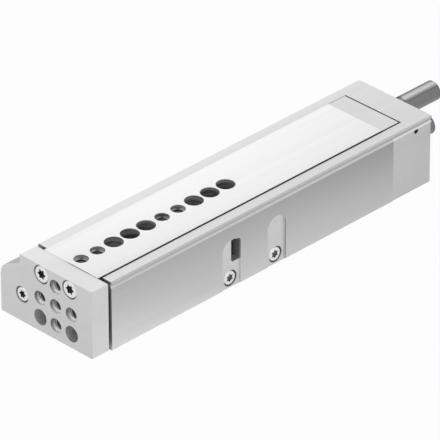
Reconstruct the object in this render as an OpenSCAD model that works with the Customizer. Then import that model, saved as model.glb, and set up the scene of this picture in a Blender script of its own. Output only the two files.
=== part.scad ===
// Pneumatic slide table: a cylinder under one rim of the housing pushes a ball-guided slide.
// Frame: +X is the way the slide travels, +Z is up, and the base face lies on z = 0.
// The origin is under the slide's centre line, half way along the housing. Sizes in mm.
// The model is at rest with the slide fully retracted.

/* [Travel] */
// Stroke of the slide
travel = 100; // [60:1:110]
// Gap between the yoke plate and the housing when retracted
yoke_gap = 2; // [1:0.5:4]

/* [Slide] */
// Length of the slide
slide_len = 180; // [170:1:220]
// Width of the slide
slide_w = 34.8; // [34:0.2:40]
// Thickness of the slide
slide_t = 9.2; // [8.6:0.1:11]
// How far the slide's top stands above the rims
slide_proud = 0.4; // [0.1:0.1:1]
// Chamfer along the slide's top edges
slide_chamfer = 0.2; // [0.1:0.1:0.6]
// Distance between neighbouring holes of the hole grid
grid = 10; // [9.6:0.1:12]
// Distance of the first top hole from the slide's front end
first_hole = 6; // [5:0.5:8]
// Diameter of the centring recess over each thread
centring_d = 7; // [6:0.1:8]
// Depth of the centring recess
centring_depth = 1.8; // [1:0.1:2.5]
// Diameter of the threaded holes
thread_d = 5; // [4:0.1:6]
// Diameter of the deep plain holes in the slide
access_d = 9; // [7:0.1:9.4]

/* [Housing] */
// Height of the housing
housing_h = 35.5; // [34:0.1:40]
// Width of the rim beside the channel
rim_w = 5.6; // [4.8:0.1:8]
// Gap between the slide and each rim
rim_gap = 0.3; // [0.3:0.05:0.8]
// Gap under the slide
floor_gap = 0.3; // [0.2:0.05:0.6]
// Thickness of the wall that closes the rear
rear_wall = 14.5; // [12:0.5:20]
// Gap between the stop block and the rear wall when retracted
rear_gap = 0.6; // [0.4:0.1:1.5]
// Softening of the housing's long edges
edge = 0.4; // [0.2:0.1:0.8]
// Height of the lip along the side of the rim
lip_h = 1.5; // [1:0.1:2]
// Depth of the groove under the lip
groove_depth = 0.9; // [0.4:0.1:1.2]
// Height of the groove's square root
groove_h = 0.75; // [0.5:0.05:1]
// Height of the bevel under the groove
bevel_h = 1.1; // [0.6:0.1:1.6]
// Depth of the milled flats on the side
flat_depth = 0.7; // [0.3:0.1:1.2]
// Diameter of the small hole under the lip
side_hole_d = 2.6; // [1.5:0.1:3]
// Distance of the small hole from the rear end
side_hole_inset = 9.6; // [6:0.1:14]
// Depth of the small hole
side_hole_depth = 3; // [2:0.5:4]

/* [Cylinder] */
// Bore of the cylinder
bore_d = 16; // [14:0.5:18]
// Thickness of the wall between the bore and the trough
trough_wall = 1.8; // [1.2:0.1:3]
// Thickness of the wall that the air ports are tapped in
port_wall = 5.7; // [5:0.1:8]
// Thickness of metal under the bore
base_wall = 6.9; // [5.5:0.1:8]
// Diameter of the piston rod
rod_d = 8; // [6:0.5:8]
// Length of the piston
piston_len = 12; // [11:0.5:16]
// Length of the air space left at each end of the bore
air_space = 5.4; // [5.2:0.1:8]
// Length of the front bearing cap
cap_len = 12; // [11:0.5:16]
// Distance of the bearing cap's front face from the housing's front face
cap_inset = 2; // [2:0.1:4]
// Running clearance of the rod in its bush, on the radius
rod_clear = 0.04; // [0.02:0.01:0.08]
// Clearance of the piston seal in the bore, on the radius
seal_clear = 0.03; // [0.02:0.01:0.08]
// Diameter of the air ports
port_d = 5; // [4:0.1:5.1]

/* [Sensor grooves] */
// Width of the mouth of each sensor groove
groove_mouth = 2.8; // [2:0.1:3.2]
// Diameter of the round part of each sensor groove
groove_d = 4.2; // [3.6:0.1:4.6]
// Distance of the round part's centre from the side
groove_inset = 2.9; // [2.6:0.1:3.4]
// Height of each groove above or below the cylinder axis
groove_offset = 6.6; // [6.2:0.1:7]

/* [Ball guide] */
// Diameter of the balls
ball_d = 3; // [2.6:0.1:3.2]
// Distance between neighbouring balls
ball_pitch = 4.2; // [3.9:0.1:6]
// Clearance of the balls in their tracks, on the radius
ball_clear = 0.1; // [0.05:0.01:0.12]
// Thickness of each cage strip
cage_t = 0.5; // [0.4:0.05:0.6]
// Height of each cage strip
cage_h = 5; // [4.6:0.1:5.2]
// Height of each guide rail
rail_h = 5.6; // [5.4:0.1:5.8]
// Thickness of each guide rail
rail_t = 2.4; // [2.1:0.1:2.8]
// Gap between the slide and each rail
track_gap = 1; // [0.9:0.05:1.2]

/* [Yoke plate] */
// Thickness of the yoke plate
yoke_t = 10; // [9:0.5:14]
// Height of the yoke plate's lower edge above the base face
yoke_lift = 0.9; // [0.3:0.1:2]
// Height of the upright edge above the slope on the cylinder side
shoulder_h = 4.5; // [3.5:0.1:6]
// Slope of the shoulder over the cylinder, in degrees
shoulder_angle = 25.8; // [20:0.2:30]
// Radius of the rounded corner over the cylinder
corner_r = 8; // [4:0.5:9]
// How far the plate's upper edge stands back from the rim on the cylinder side
yoke_step = 0.6; // [0.2:0.1:1.5]
// Distance of each slide screw from the centre line
yoke_screw_y = 9; // [8.5:0.1:11]
// How far the slide screws lie below the middle of the slide
yoke_screw_drop = 0.6; // [0:0.1:1]
// Diameter of the two plain holes in the plate
plain_hole_d = 8; // [6:0.1:8.4]

/* [End stops] */
// Thread diameter of the shock absorbers
shock_d = 10; // [8:0.5:10]
// Length of the shock absorber body
shock_len = 49.3; // [44:0.1:56]
// Distance of each shock absorber from the centre line
shock_y = 9.7; // [9.2:0.1:10.6]
// How far the extend shock absorber stands out of the rear
extend_shock_out = 12.5; // [8:0.5:14]
// Stroke of a shock absorber's plunger
plunger_stroke = 8; // [5:0.5:10]
// Diameter of the plunger
plunger_d = 3; // [2.5:0.1:3.2]
// Length of the plunger's head
plunger_head = 2; // [1.5:0.1:2.5]
// Width across the flats of the lock nuts
nut_af = 12; // [11.6:0.1:13]
// Thickness of the lock nuts
nut_t = 3.5; // [3:0.1:5]
// Thickness of the stop block behind the slide
block_t = 11.4; // [10.5:0.1:14]
// Thickness of the fixed stop's upright
stop_t = 7; // [5:0.5:10]
// Distance between the two screws of the fixed stop
stop_screw_pitch = 28.8; // [26:0.2:34]
// Distance of the front stop screw behind the stop's face
stop_screw_setback = 9.2; // [8:0.1:12]
// Height of the trough's floor above the base
trough_floor = 10.4; // [9.9:0.1:10.9]
// Width of the milled flats round the stop screws
arch_w = 11.6; // [10:0.2:14]
// Distance of the top of those flats below the rim
arch_drop = 10.3; // [9.6:0.1:12]
// Width of the window beside the fixed stop
window_w = 5.4; // [5:0.1:7]
// Height of the window
window_h = 11.5; // [10:0.1:12]

/* [Base fixing] */
// Number of base bolt holes
base_bolts = 4; // [2:1:4]
// Number of grid steps between base bolt holes
base_step = 4; // [3:1:4]
// Diameter of the base bolt holes
base_bolt_d = 5.5; // [4.5:0.1:6.5]
// Diameter of the counterbores for the base bolts
base_head_d = 9.4; // [9:0.1:9.6]
// Height of the seat under each base bolt's head
base_seat = 4.7; // [4:0.1:6]
// Diameter of the centring recess in the base
base_centring_d = 9; // [7:0.1:10]
// Depth of the centring recess in the base
base_centring_depth = 2.1; // [1.5:0.1:2.5]

/* [Hidden] */
$fn = 64;

// Overshoot of every cutting solid past the face it cuts
over = 1;
// Clearance of a screw or spigot in the hole that holds it, on the radius
thread_clear = 0.05;
// Clearance of a screw in a through hole, on the radius
bolt_clear = 0.2;
// How far a screw's head lies below the face that it is let into
head_sink = 0.3;
// Clearance of a ring or bush in its seat, on the radius
seat_clear = 0.02;
// Gap left between a stop and the piece that comes to rest on it
touch_gap = 0.3;
// How far the cut of the trough reaches into the channel above it
trough_over = 0.1;
// Clearance of the stop block in the trough
block_gap = 0.4;
// Metal of the leg beside the shock absorber, and distance of the block's screws from the middle
leg_wall = 1.3;
block_screw_y = 12;

// Screws: [thread diameter, head diameter, head height, socket radius, counterbore diameter]
m5 = [5, 8.5, 5, 2.5, 9.3];
m4 = [4, 7, 4, 2.1, 8.2];
// Lengths of the screws under the head, and depths of the threads that take them
yoke_screw_len = 16;
yoke_thread = 13;
block_screw_len = 16;
block_thread = 11;
stop_screw_len = 10;

// Positions along the travel
housing_len = slide_len + block_t + rear_gap + rear_wall - yoke_gap;
front_x = housing_len / 2;
rear_x = -front_x;
wall_x = rear_x + rear_wall;
yoke_back = front_x + yoke_gap;
yoke_front = yoke_back + yoke_t;
slide_rear = yoke_back - slide_len;
block_rear = slide_rear - block_t;

// Heights
slide_top = housing_h + slide_proud;
slide_bottom = slide_top - slide_t;
slide_mid = slide_bottom + slide_t / 2;
channel_floor = slide_bottom - floor_gap;
shock_z = slide_bottom - nut_af / 2 - 0.2;
cross_z = (yoke_lift + housing_h) / 2;

// Widths
slide_half = slide_w / 2;
channel_half = slide_half + rim_gap;
right_y = channel_half + rim_w;
plunger_head_r = plunger_d / 2 + 0.3;
trough_left = -shock_y - plunger_head_r - touch_gap;
trough_right = channel_half + 1;
bore_r = bore_d / 2;
cyl_y = trough_left - trough_wall - bore_r;
cyl_z = base_wall + bore_r;
left_y = cyl_y - bore_r - port_wall;

// Cylinder, from the front cap back to the blind end of the bore
rod_r = rod_d / 2;
cap_front = front_x - cap_inset;
cap_rear = cap_front - cap_len;
piston_front = cap_rear - air_space - travel;
piston_rear = piston_front - piston_len;
bore_end = piston_rear - air_space;
spigot_r = 2.5;
piston_nut_t = 3;
piston_nut_af = 8;
bush_r = rod_r + 1;
seal_room = 4;
bush_len = cap_len - seal_room;
seal_r = bush_r + 1.2;
clip_t = 1.1;
clip_groove = 0.45;
// Grooves of the cap and the piston, each as a distance from the piece's rear and a width
cap_ring_at = 3.5;
cap_ring_wide = 2;
cap_ring_deep = 1.45;
guide_at = 1;
guide_wide = 2;
guide_deep = 0.75;
magnet_at = 4;
magnet_wide = 3;
seal_at = 8;
seal_wide = 2.2;
seal_deep = 1.75;
piston_play = 0.15;
guide_play = 0.05;

// Ball guide
ball_y = slide_half + track_gap / 2;
rail_y = slide_half + track_gap;
rail_back = rail_y + rail_t;
rail_bottom = slide_mid - rail_h / 2;
rail_front = front_x - 0.3;
rail_rear = slide_rear - 1;
rear_flat_x = rail_rear - 0.2;
track_r = ball_d / 2 + ball_clear;
cage_margin = 1.2;
cage_len = rail_front - (slide_rear + travel) - 2 * cage_margin;
cage_rear = slide_rear + travel + cage_margin - travel / 2;
ball_count = floor((cage_len - ball_pitch) / ball_pitch) + 1;
first_ball = cage_rear + (cage_len - (ball_count - 1) * ball_pitch) / 2;

// Stop bar: distance from its rear screw to its end, height of its underside, its width and
// how far its right side and its upright's left side lie from the shock absorber's axis
bar_end = 5.7;
bar_floor = 1.6;
bar_wide = 8;
bar_reach = 6.3;
bar_right = shock_y + bar_reach;
stop_reach = 4.5;
stop_left = shock_y - stop_reach;
stop_screw_rise = 3.1;
// Offset of the milled flats from the stop screws, and of the window's top below the flats' top
arch_shift = 0.2;
window_drop = 0.9;
window_r = 1.5;
window_top_r = 2.2;

// End stops
shock_r = shock_d / 2;
retract_front = wall_x - plunger_head;
retract_rear = retract_front - shock_len;
extend_rear = rear_x - extend_shock_out;
extend_front = extend_rear + shock_len;
stop_face = extend_front + travel + plunger_head + 2 * touch_gap;
trough_end = stop_face + stop_t;
stop_screw_x = stop_face - stop_screw_setback;
bar_rear = stop_screw_x - stop_screw_pitch - bar_end;
bar_left = bar_right - bar_wide;
stop_screw_z = bar_floor + stop_screw_rise;
// The plunger's stem, the hole it runs in and the key socket at the other end of the body
stem_guide = 8;
stem_len = plunger_stroke + stem_guide;
stem_room = 4;
stem_hole = stem_len + stem_room;
shock_soft = 0.7;
shock_key_r = 2.3;
shock_key_depth = 3;
// Clearance of the extend shock absorber in the rear wall, on the radius
passage_clear = 0.5;
flat_y = right_y - flat_depth;
arch_r = arch_w / 2;
arch_x = stop_screw_x - arch_shift;
arch_z = housing_h - arch_drop - arch_r;
window_front = arch_x - arch_r + window_w;
window_bottom = housing_h - arch_drop - window_drop - window_h;
block_half = slide_half;
leg_left = trough_left + block_gap;
leg_right = shock_y + shock_r + leg_wall;
leg_bottom = trough_floor + block_gap;
// Radius of the cutter that left the trough's front corners
cutter_r = 3;

// Top holes, counted from the front: true marks a threaded hole
top_holes = [true, true, false, false, false, true, true, false, false, false];
function top_x(i) = yoke_back - first_hole - grid * i;
// The base bolts line up with deep holes of the slide: the fourth top hole takes the first bolt
function base_x(i) = top_x(3) - grid * base_step * i;

// --- Building blocks ---------------------------------------------------------------------

// A 2-D shape in (y, z), carried along X from a to b
module along_x(a, b) {
    translate([a, 0, 0]) rotate([90, 0, 90]) linear_extrude(b - a) children();
}

// A 2-D shape in (x, z), carried along Y from a up to b
module along_y(a, b) {
    translate([0, b, 0]) rotate([90, 0, 0]) linear_extrude(b - a) children();
}

// A straight round bar or cutter along X from a to b
module rod_x(a, b, y, z, r) {
    translate([a, y, z]) rotate([0, 90, 0]) cylinder(r = r, h = b - a);
}

// A turned form whose axis runs along X from (x, y, z): the profile is in (radius, distance)
module turned_x(x, y, z) {
    translate([x, y, z]) rotate([0, 90, 0]) rotate_extrude() children();
}

// The six-lobed outline of a driver socket
module lobes(r) {
    difference() {
        circle(r);
        for (a = [0:60:300]) rotate(a) translate([1.14 * r, 0]) circle(0.42 * r);
    }
}

// A cap screw with a lobed socket: its head's top is at the origin and it points down -Z
module cap_screw(size, len) {
    r = size[0] / 2;
    head_r = size[1] / 2;
    head_h = size[2];
    soft = 0.35;
    difference() {
        rotate_extrude() polygon([
            [0, 0], [head_r - soft, 0], [head_r, -soft], [head_r, -head_h], [r, -head_h],
            [r, -head_h - len + soft], [r - soft, -head_h - len], [0, -head_h - len]
        ]);
        translate([0, 0, -0.6 * head_h]) linear_extrude(head_h) lobes(size[3]);
    }
}

// The hole for that screw: a counterbore, then a through hole, in metal of that thickness
module screw_hole(size, thick) {
    sink = size[2] + head_sink;
    translate([0, 0, -sink]) cylinder(d = size[4], h = sink + over);
    translate([0, 0, -thick - over]) cylinder(r = size[0] / 2 + bolt_clear, h = thick + over);
}

// Turn a form that points down -Z so that it points along -X, +X or -Y
module facing_front() { rotate([0, 90, 0]) children(); }
module facing_rear() { rotate([0, -90, 0]) children(); }
module facing_side() { rotate([-90, 0, 0]) children(); }

// A threaded hole under a centring recess, down -Z from the face, through thickness t
module fixing_hole(t) {
    translate([0, 0, -centring_depth]) cylinder(d = centring_d, h = centring_depth + over);
    translate([0, 0, -t - over]) cylinder(d = thread_d, h = t + over);
}

// --- Outlines ----------------------------------------------------------------------------

// Cross-section over the slide's centre line and the cylinder: low edge at z = low, the
// upright edge on the cylinder side at y = -shoulder, and a soft long edge of size s
module body_section(low, shoulder, s) {
    turn = 90 - shoulder_angle;
    reach = corner_r * tan(turn / 2);
    apex_z = housing_h - shoulder_h - (-shoulder - left_y) * tan(shoulder_angle);
    union() {
        polygon([
            [left_y + s, low], [right_y - s, low], [right_y, low + s], [right_y, housing_h - s],
            [right_y - s, housing_h], [-shoulder + s, housing_h], [-shoulder, housing_h - s],
            [-shoulder, housing_h - shoulder_h],
            [left_y + reach * cos(shoulder_angle), apex_z + reach * sin(shoulder_angle)],
            [left_y, apex_z - reach], [left_y, low + s]
        ]);
        translate([left_y + corner_r, apex_z - reach]) circle(corner_r);
    }
}

// Groove under the lip: a square root with a bevel below it
module lip_groove_section() {
    z1 = housing_h - lip_h;
    z2 = z1 - groove_h;
    polygon([
        [right_y + over, z1], [right_y - groove_depth, z1], [right_y - groove_depth, z2],
        [right_y, z2 - bevel_h], [right_y + over, z2 - bevel_h]
    ]);
}

// Milled flat with its top rounded to an arch round x
module arch_section(x) {
    union() {
        translate([x - arch_r, -over]) square([arch_w, arch_z + over]);
        translate([x, arch_z]) circle(arch_r);
    }
}

// Window: its rear upper corner and its front lower corner are rounded
module window_section() {
    low = window_r;
    top = window_top_r;
    rear = window_front - window_w;
    union() {
        translate([rear, window_bottom]) square([window_w - low, window_h - top]);
        translate([rear + top, window_bottom + low]) square([window_w - top, window_h - low]);
        translate([window_front - low, window_bottom + low]) circle(low);
        translate([rear + top, window_bottom + window_h - top]) circle(top);
    }
}

// Round-bottomed sensor groove in the cylinder side at height z
module sensor_groove_section(z) {
    translate([left_y + groove_inset, z]) circle(d = groove_d);
    translate([left_y - over, z - groove_mouth / 2]) square([groove_inset + over, groove_mouth]);
}

// --- Housing and what is fixed to it -----------------------------------------------------

module trough_plan() {
    r = cutter_r;
    width = trough_right - trough_left;
    len = trough_end - wall_x;
    union() {
        translate([wall_x, trough_left]) square([len - r, width]);
        translate([wall_x, trough_left + r]) square([len, width - 2 * r]);
        translate([trough_end - r, trough_left + r]) circle(r);
        translate([trough_end - r, trough_right - r]) circle(r);
    }
}

module base_hole(x) {
    translate([x, 0, -over]) cylinder(d = base_bolt_d, h = channel_floor + 2 * over);
    translate([x, 0, base_seat]) cylinder(d = base_head_d, h = channel_floor);
    translate([x, 0, -over]) cylinder(d = base_centring_d, h = base_centring_depth + over);
}

module housing() {
    groove_z = housing_h - lip_h - groove_h - bevel_h;
    color("gainsboro") difference() {
        along_x(rear_x, front_x) body_section(0, right_y, edge);
        // channel for the slide and the pockets for its rails
        translate([wall_x, -channel_half, channel_floor])
            cube([front_x - wall_x + over, 2 * channel_half, housing_h]);
        translate([rail_rear, -rail_back, rail_bottom])
            cube([front_x - rail_rear + over, 2 * rail_back, rail_h]);
        // trough for the end stops and the groove for the foot of the stop bar
        translate([0, 0, trough_floor])
            linear_extrude(channel_floor - trough_floor + trough_over) trough_plan();
        translate([bar_rear, bar_left, bar_floor])
            cube([trough_end - bar_rear, bar_right - bar_left, trough_floor]);
        // cylinder bore, circlip groove and air ports
        rod_x(bore_end, front_x + over, cyl_y, cyl_z, bore_r);
        rod_x(cap_front + 0.1, cap_front + 0.2 + clip_t, cyl_y, cyl_z, bore_r + clip_groove);
        for (x = [bore_end + air_space / 2, cap_rear - air_space / 2])
            translate([x, cyl_y, cyl_z]) rotate([90, 0, 0])
                cylinder(d = port_d, h = bore_r + port_wall + over);
        // holes for the shock absorbers in the rear wall
        rod_x(rear_x - over, wall_x, -shock_y, shock_z, shock_r + thread_clear);
        rod_x(rear_x - over, wall_x + over, shock_y, shock_z, shock_r + passage_clear);
        // grooves along the sides
        along_x(rear_x - over, front_x + over) lip_groove_section();
        for (side = [-1, 1])
            along_x(rear_x - over, front_x + over)
                sensor_groove_section(cyl_z + side * groove_offset);
        // milled flats on the side, the window and the small hole
        translate([rear_x - over, flat_y, -over])
            cube([rear_flat_x - rear_x + over, flat_depth + over, groove_z + over]);
        for (i = [0, 1])
            along_y(flat_y, right_y + over) arch_section(arch_x - i * stop_screw_pitch);
        along_y(channel_half, right_y + over) window_section();
        translate([rear_x + side_hole_inset, flat_y - side_hole_depth, groove_z - side_hole_d / 2])
            rotate([-90, 0, 0]) cylinder(d = side_hole_d, h = side_hole_depth + over);
        // screws of the stop bar
        for (i = [0, 1])
            translate([stop_screw_x - i * stop_screw_pitch, flat_y, stop_screw_z])
                facing_side() screw_hole(m4, flat_y - bar_right);
        // base fixing
        for (i = [0:base_bolts - 1]) base_hole(base_x(i));
    }
}

// Hardened rail with a ball track along its inner face
module guide_rail(side) {
    inner = side > 0 ? rail_y : -rail_back;
    difference() {
        translate([rail_rear, inner, rail_bottom]) cube([rail_front - rail_rear, rail_t, rail_h]);
        rod_x(rail_rear - over, rail_front + over, side * ball_y, slide_mid, track_r);
    }
}

module guide_rail_left() { color("slategray") guide_rail(-1); }
module guide_rail_right() { color("slategray") guide_rail(1); }

// Cap with a groove for its O-ring, a seat for the bush behind and one for the seal in front
module bearing_cap() {
    outer = bore_r - seat_clear;
    neck = outer - cap_ring_deep;
    ring_end = cap_ring_at + cap_ring_wide;
    lip_r = rod_r + 0.4;
    color("silver") turned_x(cap_rear, cyl_y, cyl_z) polygon([
        [bush_r, 0], [outer - edge, 0], [outer, edge], [outer, cap_ring_at], [neck, cap_ring_at],
        [neck, ring_end], [outer, ring_end], [outer, cap_len], [seal_r, cap_len],
        [seal_r, bush_len + 1], [lip_r, bush_len + 1], [lip_r, bush_len], [bush_r, bush_len]
    ]);
}

module rod_bush() {
    color("peru") turned_x(cap_rear, cyl_y, cyl_z)
        translate([rod_r + rod_clear, 0]) square([bush_r - rod_r - rod_clear, bush_len]);
}

// Wiper seal: a lip that leans out along the rod
module rod_seal() {
    heel = bush_len + 1;
    lip = rod_r + rod_clear / 2;
    color("dimgray") turned_x(cap_rear, cyl_y, cyl_z) polygon([
        [lip + 0.5, heel], [seal_r, heel], [seal_r, cap_len - 0.5], [lip + 0.9, cap_len - 0.5],
        [lip, cap_len - 0.1], [lip, cap_len - 0.5], [lip + 0.5, cap_len - 1.4]
    ]);
}

module cap_o_ring() {
    color("dimgray") turned_x(cap_rear, cyl_y, cyl_z)
        translate([bore_r - cap_ring_deep / 2 - seat_clear, cap_ring_at + cap_ring_wide / 2])
            circle(cap_ring_deep / 2 - 0.03);
}

// Internal retaining ring with two drilled ears beside its gap
module circlip() {
    outer = bore_r + clip_groove - 0.05;
    inner = bore_r - 0.9;
    ear = 1.5;
    ear_hole = 0.6;
    ear_turn = 26;
    color("darkslategray") translate([cap_front + 0.15, cyl_y, cyl_z]) rotate([0, 90, 0])
        linear_extrude(clip_t) difference() {
            union() {
                difference() {
                    circle(outer);
                    circle(inner);
                    polygon([[0, 0], [3 * outer, -outer], [3 * outer, outer]]);
                }
                for (a = [-ear_turn, ear_turn])
                    rotate(a) translate([inner - ear / 2, 0]) circle(ear);
            }
            for (a = [-ear_turn, ear_turn])
                rotate(a) translate([inner - ear / 2, 0]) circle(ear_hole);
        }
}

// Fixed stop: a foot in the floor groove and an upright that takes the blow
module stop_bar() {
    color("gray") difference() {
        union() {
            translate([bar_rear, bar_left, bar_floor])
                cube([trough_end - bar_rear, bar_right - bar_left, trough_floor - bar_floor]);
            translate([stop_face, stop_left, trough_floor])
                cube([stop_t, bar_right - stop_left, shock_z + shock_r - trough_floor]);
        }
        for (i = [0, 1])
            translate([stop_screw_x - i * stop_screw_pitch, bar_left - over, stop_screw_z])
                rotate([-90, 0, 0])
                    cylinder(r = m4[0] / 2 + thread_clear, h = bar_right - bar_left + 2 * over);
    }
}

module stop_bar_screws() {
    color("lightgray") for (i = [0, 1])
        translate([stop_screw_x - i * stop_screw_pitch, flat_y - head_sink, stop_screw_z])
            facing_side() cap_screw(m4, stop_screw_len);
}

// Shock absorber body from x, its front end drilled for the plunger
module shock_body(x, y) {
    front = x + shock_len;
    difference() {
        turned_x(x, y, shock_z) polygon([
            [0, 0], [shock_r - shock_soft, 0], [shock_r, shock_soft],
            [shock_r, shock_len - shock_soft], [shock_r - shock_soft, shock_len], [0, shock_len]
        ]);
        translate([x - over, y, shock_z]) rotate([0, 90, 0])
            cylinder(r = shock_key_r, h = shock_key_depth + over, $fn = 6);
        rod_x(front - stem_hole, front + over, y, shock_z, plunger_d / 2 + thread_clear);
    }
}

// Plunger whose head's tip is at x
module shock_plunger(x, y) {
    stem_r = plunger_d / 2;
    tail = -plunger_head - stem_len;
    color("silver") turned_x(x, y, shock_z) polygon([
        [0, 0], [plunger_head_r - edge, 0], [plunger_head_r, -edge],
        [plunger_head_r, -plunger_head], [stem_r, -plunger_head], [stem_r, tail], [0, tail]
    ]);
}

// Hexagonal lock nut with its corners turned off, from x forward
module lock_nut(x, y) {
    corner = nut_af / sqrt(3);
    soft = 0.6;
    color("silver") difference() {
        intersection() {
            translate([x, y, shock_z]) rotate([0, 90, 0]) rotate(30)
                cylinder(r = corner, h = nut_t, $fn = 6);
            turned_x(x, y, shock_z) polygon([
                [0, 0], [corner - soft, 0], [corner, soft / 2], [corner, nut_t - soft / 2],
                [corner - soft, nut_t], [0, nut_t]
            ]);
        }
        rod_x(x - over, x + nut_t + over, y, shock_z, shock_r + thread_clear);
    }
}

module retract_shock_body() { color("dimgray") shock_body(retract_rear, -shock_y); }
module retract_shock_nut() { lock_nut(rear_x - nut_t, -shock_y); }
module retract_shock_plunger() { shock_plunger(block_rear - touch_gap, -shock_y); }

// --- Slide and what travels with it ------------------------------------------------------

module slide_section() {
    c = slide_chamfer;
    difference() {
        polygon([
            [-slide_half, slide_bottom + c], [-slide_half + c, slide_bottom],
            [slide_half - c, slide_bottom], [slide_half, slide_bottom + c],
            [slide_half, slide_top - c], [slide_half - c, slide_top],
            [-slide_half + c, slide_top], [-slide_half, slide_top - c]
        ]);
        for (side = [-1, 1]) translate([side * ball_y, slide_mid]) circle(track_r);
    }
}

module slide() {
    color("whitesmoke") difference() {
        along_x(slide_rear, yoke_back) slide_section();
        for (i = [0:len(top_holes) - 1])
            translate([top_x(i), 0, slide_top])
                if (top_holes[i]) fixing_hole(slide_t);
                else translate([0, 0, -slide_t - over]) cylinder(d = access_d, h = slide_t + 2 * over);
        for (side = [-1, 1]) {
            rod_x(yoke_back - yoke_thread, yoke_back + over, side * yoke_screw_y,
                slide_mid - yoke_screw_drop, m5[0] / 2 + thread_clear);
            rod_x(slide_rear - over, slide_rear + block_thread, side * block_screw_y,
                slide_mid, m4[0] / 2 + thread_clear);
        }
    }
}

module yoke_plate() {
    color("lightgray") difference() {
        along_x(yoke_back, yoke_front) body_section(yoke_lift, right_y - yoke_step, edge);
        // cross of threads with centring recesses
        for (p = [[0, 0], [-grid, 0], [grid, 0], [0, -grid], [0, grid]])
            translate([yoke_front, p[0], cross_z + p[1]]) facing_front() fixing_hole(yoke_t);
        // plain holes beside the lowest thread
        for (side = [-1, 1])
            rod_x(yoke_back - over, yoke_front + over, side * grid, cross_z - grid, plain_hole_d / 2);
        for (side = [-1, 1])
            translate([yoke_front, side * yoke_screw_y, slide_mid - yoke_screw_drop])
                facing_front() screw_hole(m5, yoke_t);
        translate([yoke_front, cyl_y, cyl_z]) facing_front() screw_hole(m4, yoke_t);
    }
}

module yoke_slide_screws() {
    color("silver") for (side = [-1, 1])
        translate([yoke_front - head_sink, side * yoke_screw_y, slide_mid - yoke_screw_drop])
            facing_front() cap_screw(m5, yoke_screw_len);
}

module yoke_rod_screw() {
    color("silver") translate([yoke_front - head_sink, cyl_y, cyl_z])
        facing_front() cap_screw(m4, yoke_screw_len);
}

module piston_rod() {
    tail = piston_rear - piston_nut_t - 0.8;
    len = yoke_back - tail;
    shoulder = piston_front - tail;
    color("lightsteelblue") difference() {
        turned_x(tail, cyl_y, cyl_z) polygon([
            [0, 0], [spigot_r - 0.3, 0], [spigot_r, 0.3], [spigot_r, shoulder], [rod_r, shoulder],
            [rod_r, len - 0.4], [rod_r - 0.4, len], [0, len]
        ]);
        rod_x(yoke_back - yoke_thread, yoke_back + over, cyl_y, cyl_z, m4[0] / 2 + thread_clear);
    }
}

// Piston with three grooves, from the rear: guide ring, magnet, seal
module piston() {
    outer = bore_r - piston_play;
    root = outer - seal_deep;
    guide_end = guide_at + guide_wide;
    magnet_end = magnet_at + magnet_wide;
    seal_end = seal_at + seal_wide;
    hole = spigot_r + seat_clear;
    color("silver") turned_x(piston_rear, cyl_y, cyl_z) polygon([
        [hole, 0], [outer, 0], [outer, guide_at], [outer - guide_deep, guide_at],
        [outer - guide_deep, guide_end], [outer, guide_end], [outer, magnet_at],
        [root, magnet_at], [root, magnet_end], [outer, magnet_end], [outer, seal_at],
        [root, seal_at], [root, seal_end], [outer, seal_end], [outer, piston_len],
        [hole, piston_len]
    ]);
}

// Double-lipped seal ring with a hollow back
module piston_seal() {
    lip = bore_r - seal_clear;
    root = bore_r - piston_play - seal_deep;
    a = 0.1;
    b = 0.35;
    color("dimgray") turned_x(piston_rear + seal_at, cyl_y, cyl_z) polygon([
        [root, a], [lip - 2 * a, a], [lip, b], [lip - 0.45, seal_wide / 2],
        [lip, seal_wide - b], [lip - 2 * a, seal_wide - a], [root, seal_wide - a]
    ]);
}

module magnet_ring() {
    color("darkslategray") turned_x(piston_rear + magnet_at, cyl_y, cyl_z)
        translate([bore_r - piston_play - seal_deep, 0]) square([seal_deep - 0.25, magnet_wide]);
}

module guide_ring() {
    color("ivory") turned_x(piston_rear + guide_at, cyl_y, cyl_z)
        translate([bore_r - piston_play - guide_deep, 0])
            square([guide_deep + piston_play - guide_play, guide_wide]);
}

module piston_nut() {
    color("silver") translate([piston_rear - piston_nut_t, cyl_y, cyl_z]) rotate([0, 90, 0])
        difference() {
            cylinder(r = piston_nut_af / sqrt(3), h = piston_nut_t, $fn = 6);
            translate([0, 0, -over])
                cylinder(r = spigot_r + seat_clear, h = piston_nut_t + 2 * over);
        }
}

// Block behind the slide: a plate across the channel and a leg in the trough
module stop_block() {
    color("gainsboro") difference() {
        union() {
            translate([block_rear, -block_half, slide_bottom])
                cube([block_t, 2 * block_half, housing_h - slide_bottom]);
            translate([block_rear, leg_left, leg_bottom])
                cube([block_t, leg_right - leg_left, slide_bottom - leg_bottom]);
        }
        rod_x(block_rear - over, slide_rear + over, shock_y, shock_z, shock_r + thread_clear);
        for (side = [-1, 1])
            translate([block_rear, side * block_screw_y, slide_mid])
                facing_rear() screw_hole(m4, block_t);
    }
}

module stop_block_screws() {
    color("silver") for (side = [-1, 1])
        translate([block_rear + head_sink, side * block_screw_y, slide_mid])
            facing_rear() cap_screw(m4, block_screw_len);
}

module extend_shock_body() { color("dimgray") shock_body(extend_rear, shock_y); }
module extend_shock_nut() { lock_nut(slide_rear, shock_y); }
module extend_shock_plunger() {
    shock_plunger(extend_front + touch_gap + plunger_stroke + plunger_head, shock_y);
}

// --- Ball cages --------------------------------------------------------------------------

module ball_cage(side) {
    color("burlywood") difference() {
        translate([cage_rear, side * ball_y - cage_t / 2, slide_mid - cage_h / 2])
            cube([cage_len, cage_t, cage_h]);
        for (i = [0:ball_count - 1])
            translate([first_ball + i * ball_pitch, side * ball_y - over, slide_mid])
                rotate([-90, 0, 0]) cylinder(r = track_r, h = 2 * over);
    }
}

module ball_row(side) {
    color("silver") for (i = [0:ball_count - 1])
        translate([first_ball + i * ball_pitch, side * ball_y, slide_mid]) sphere(d = ball_d);
}

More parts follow.
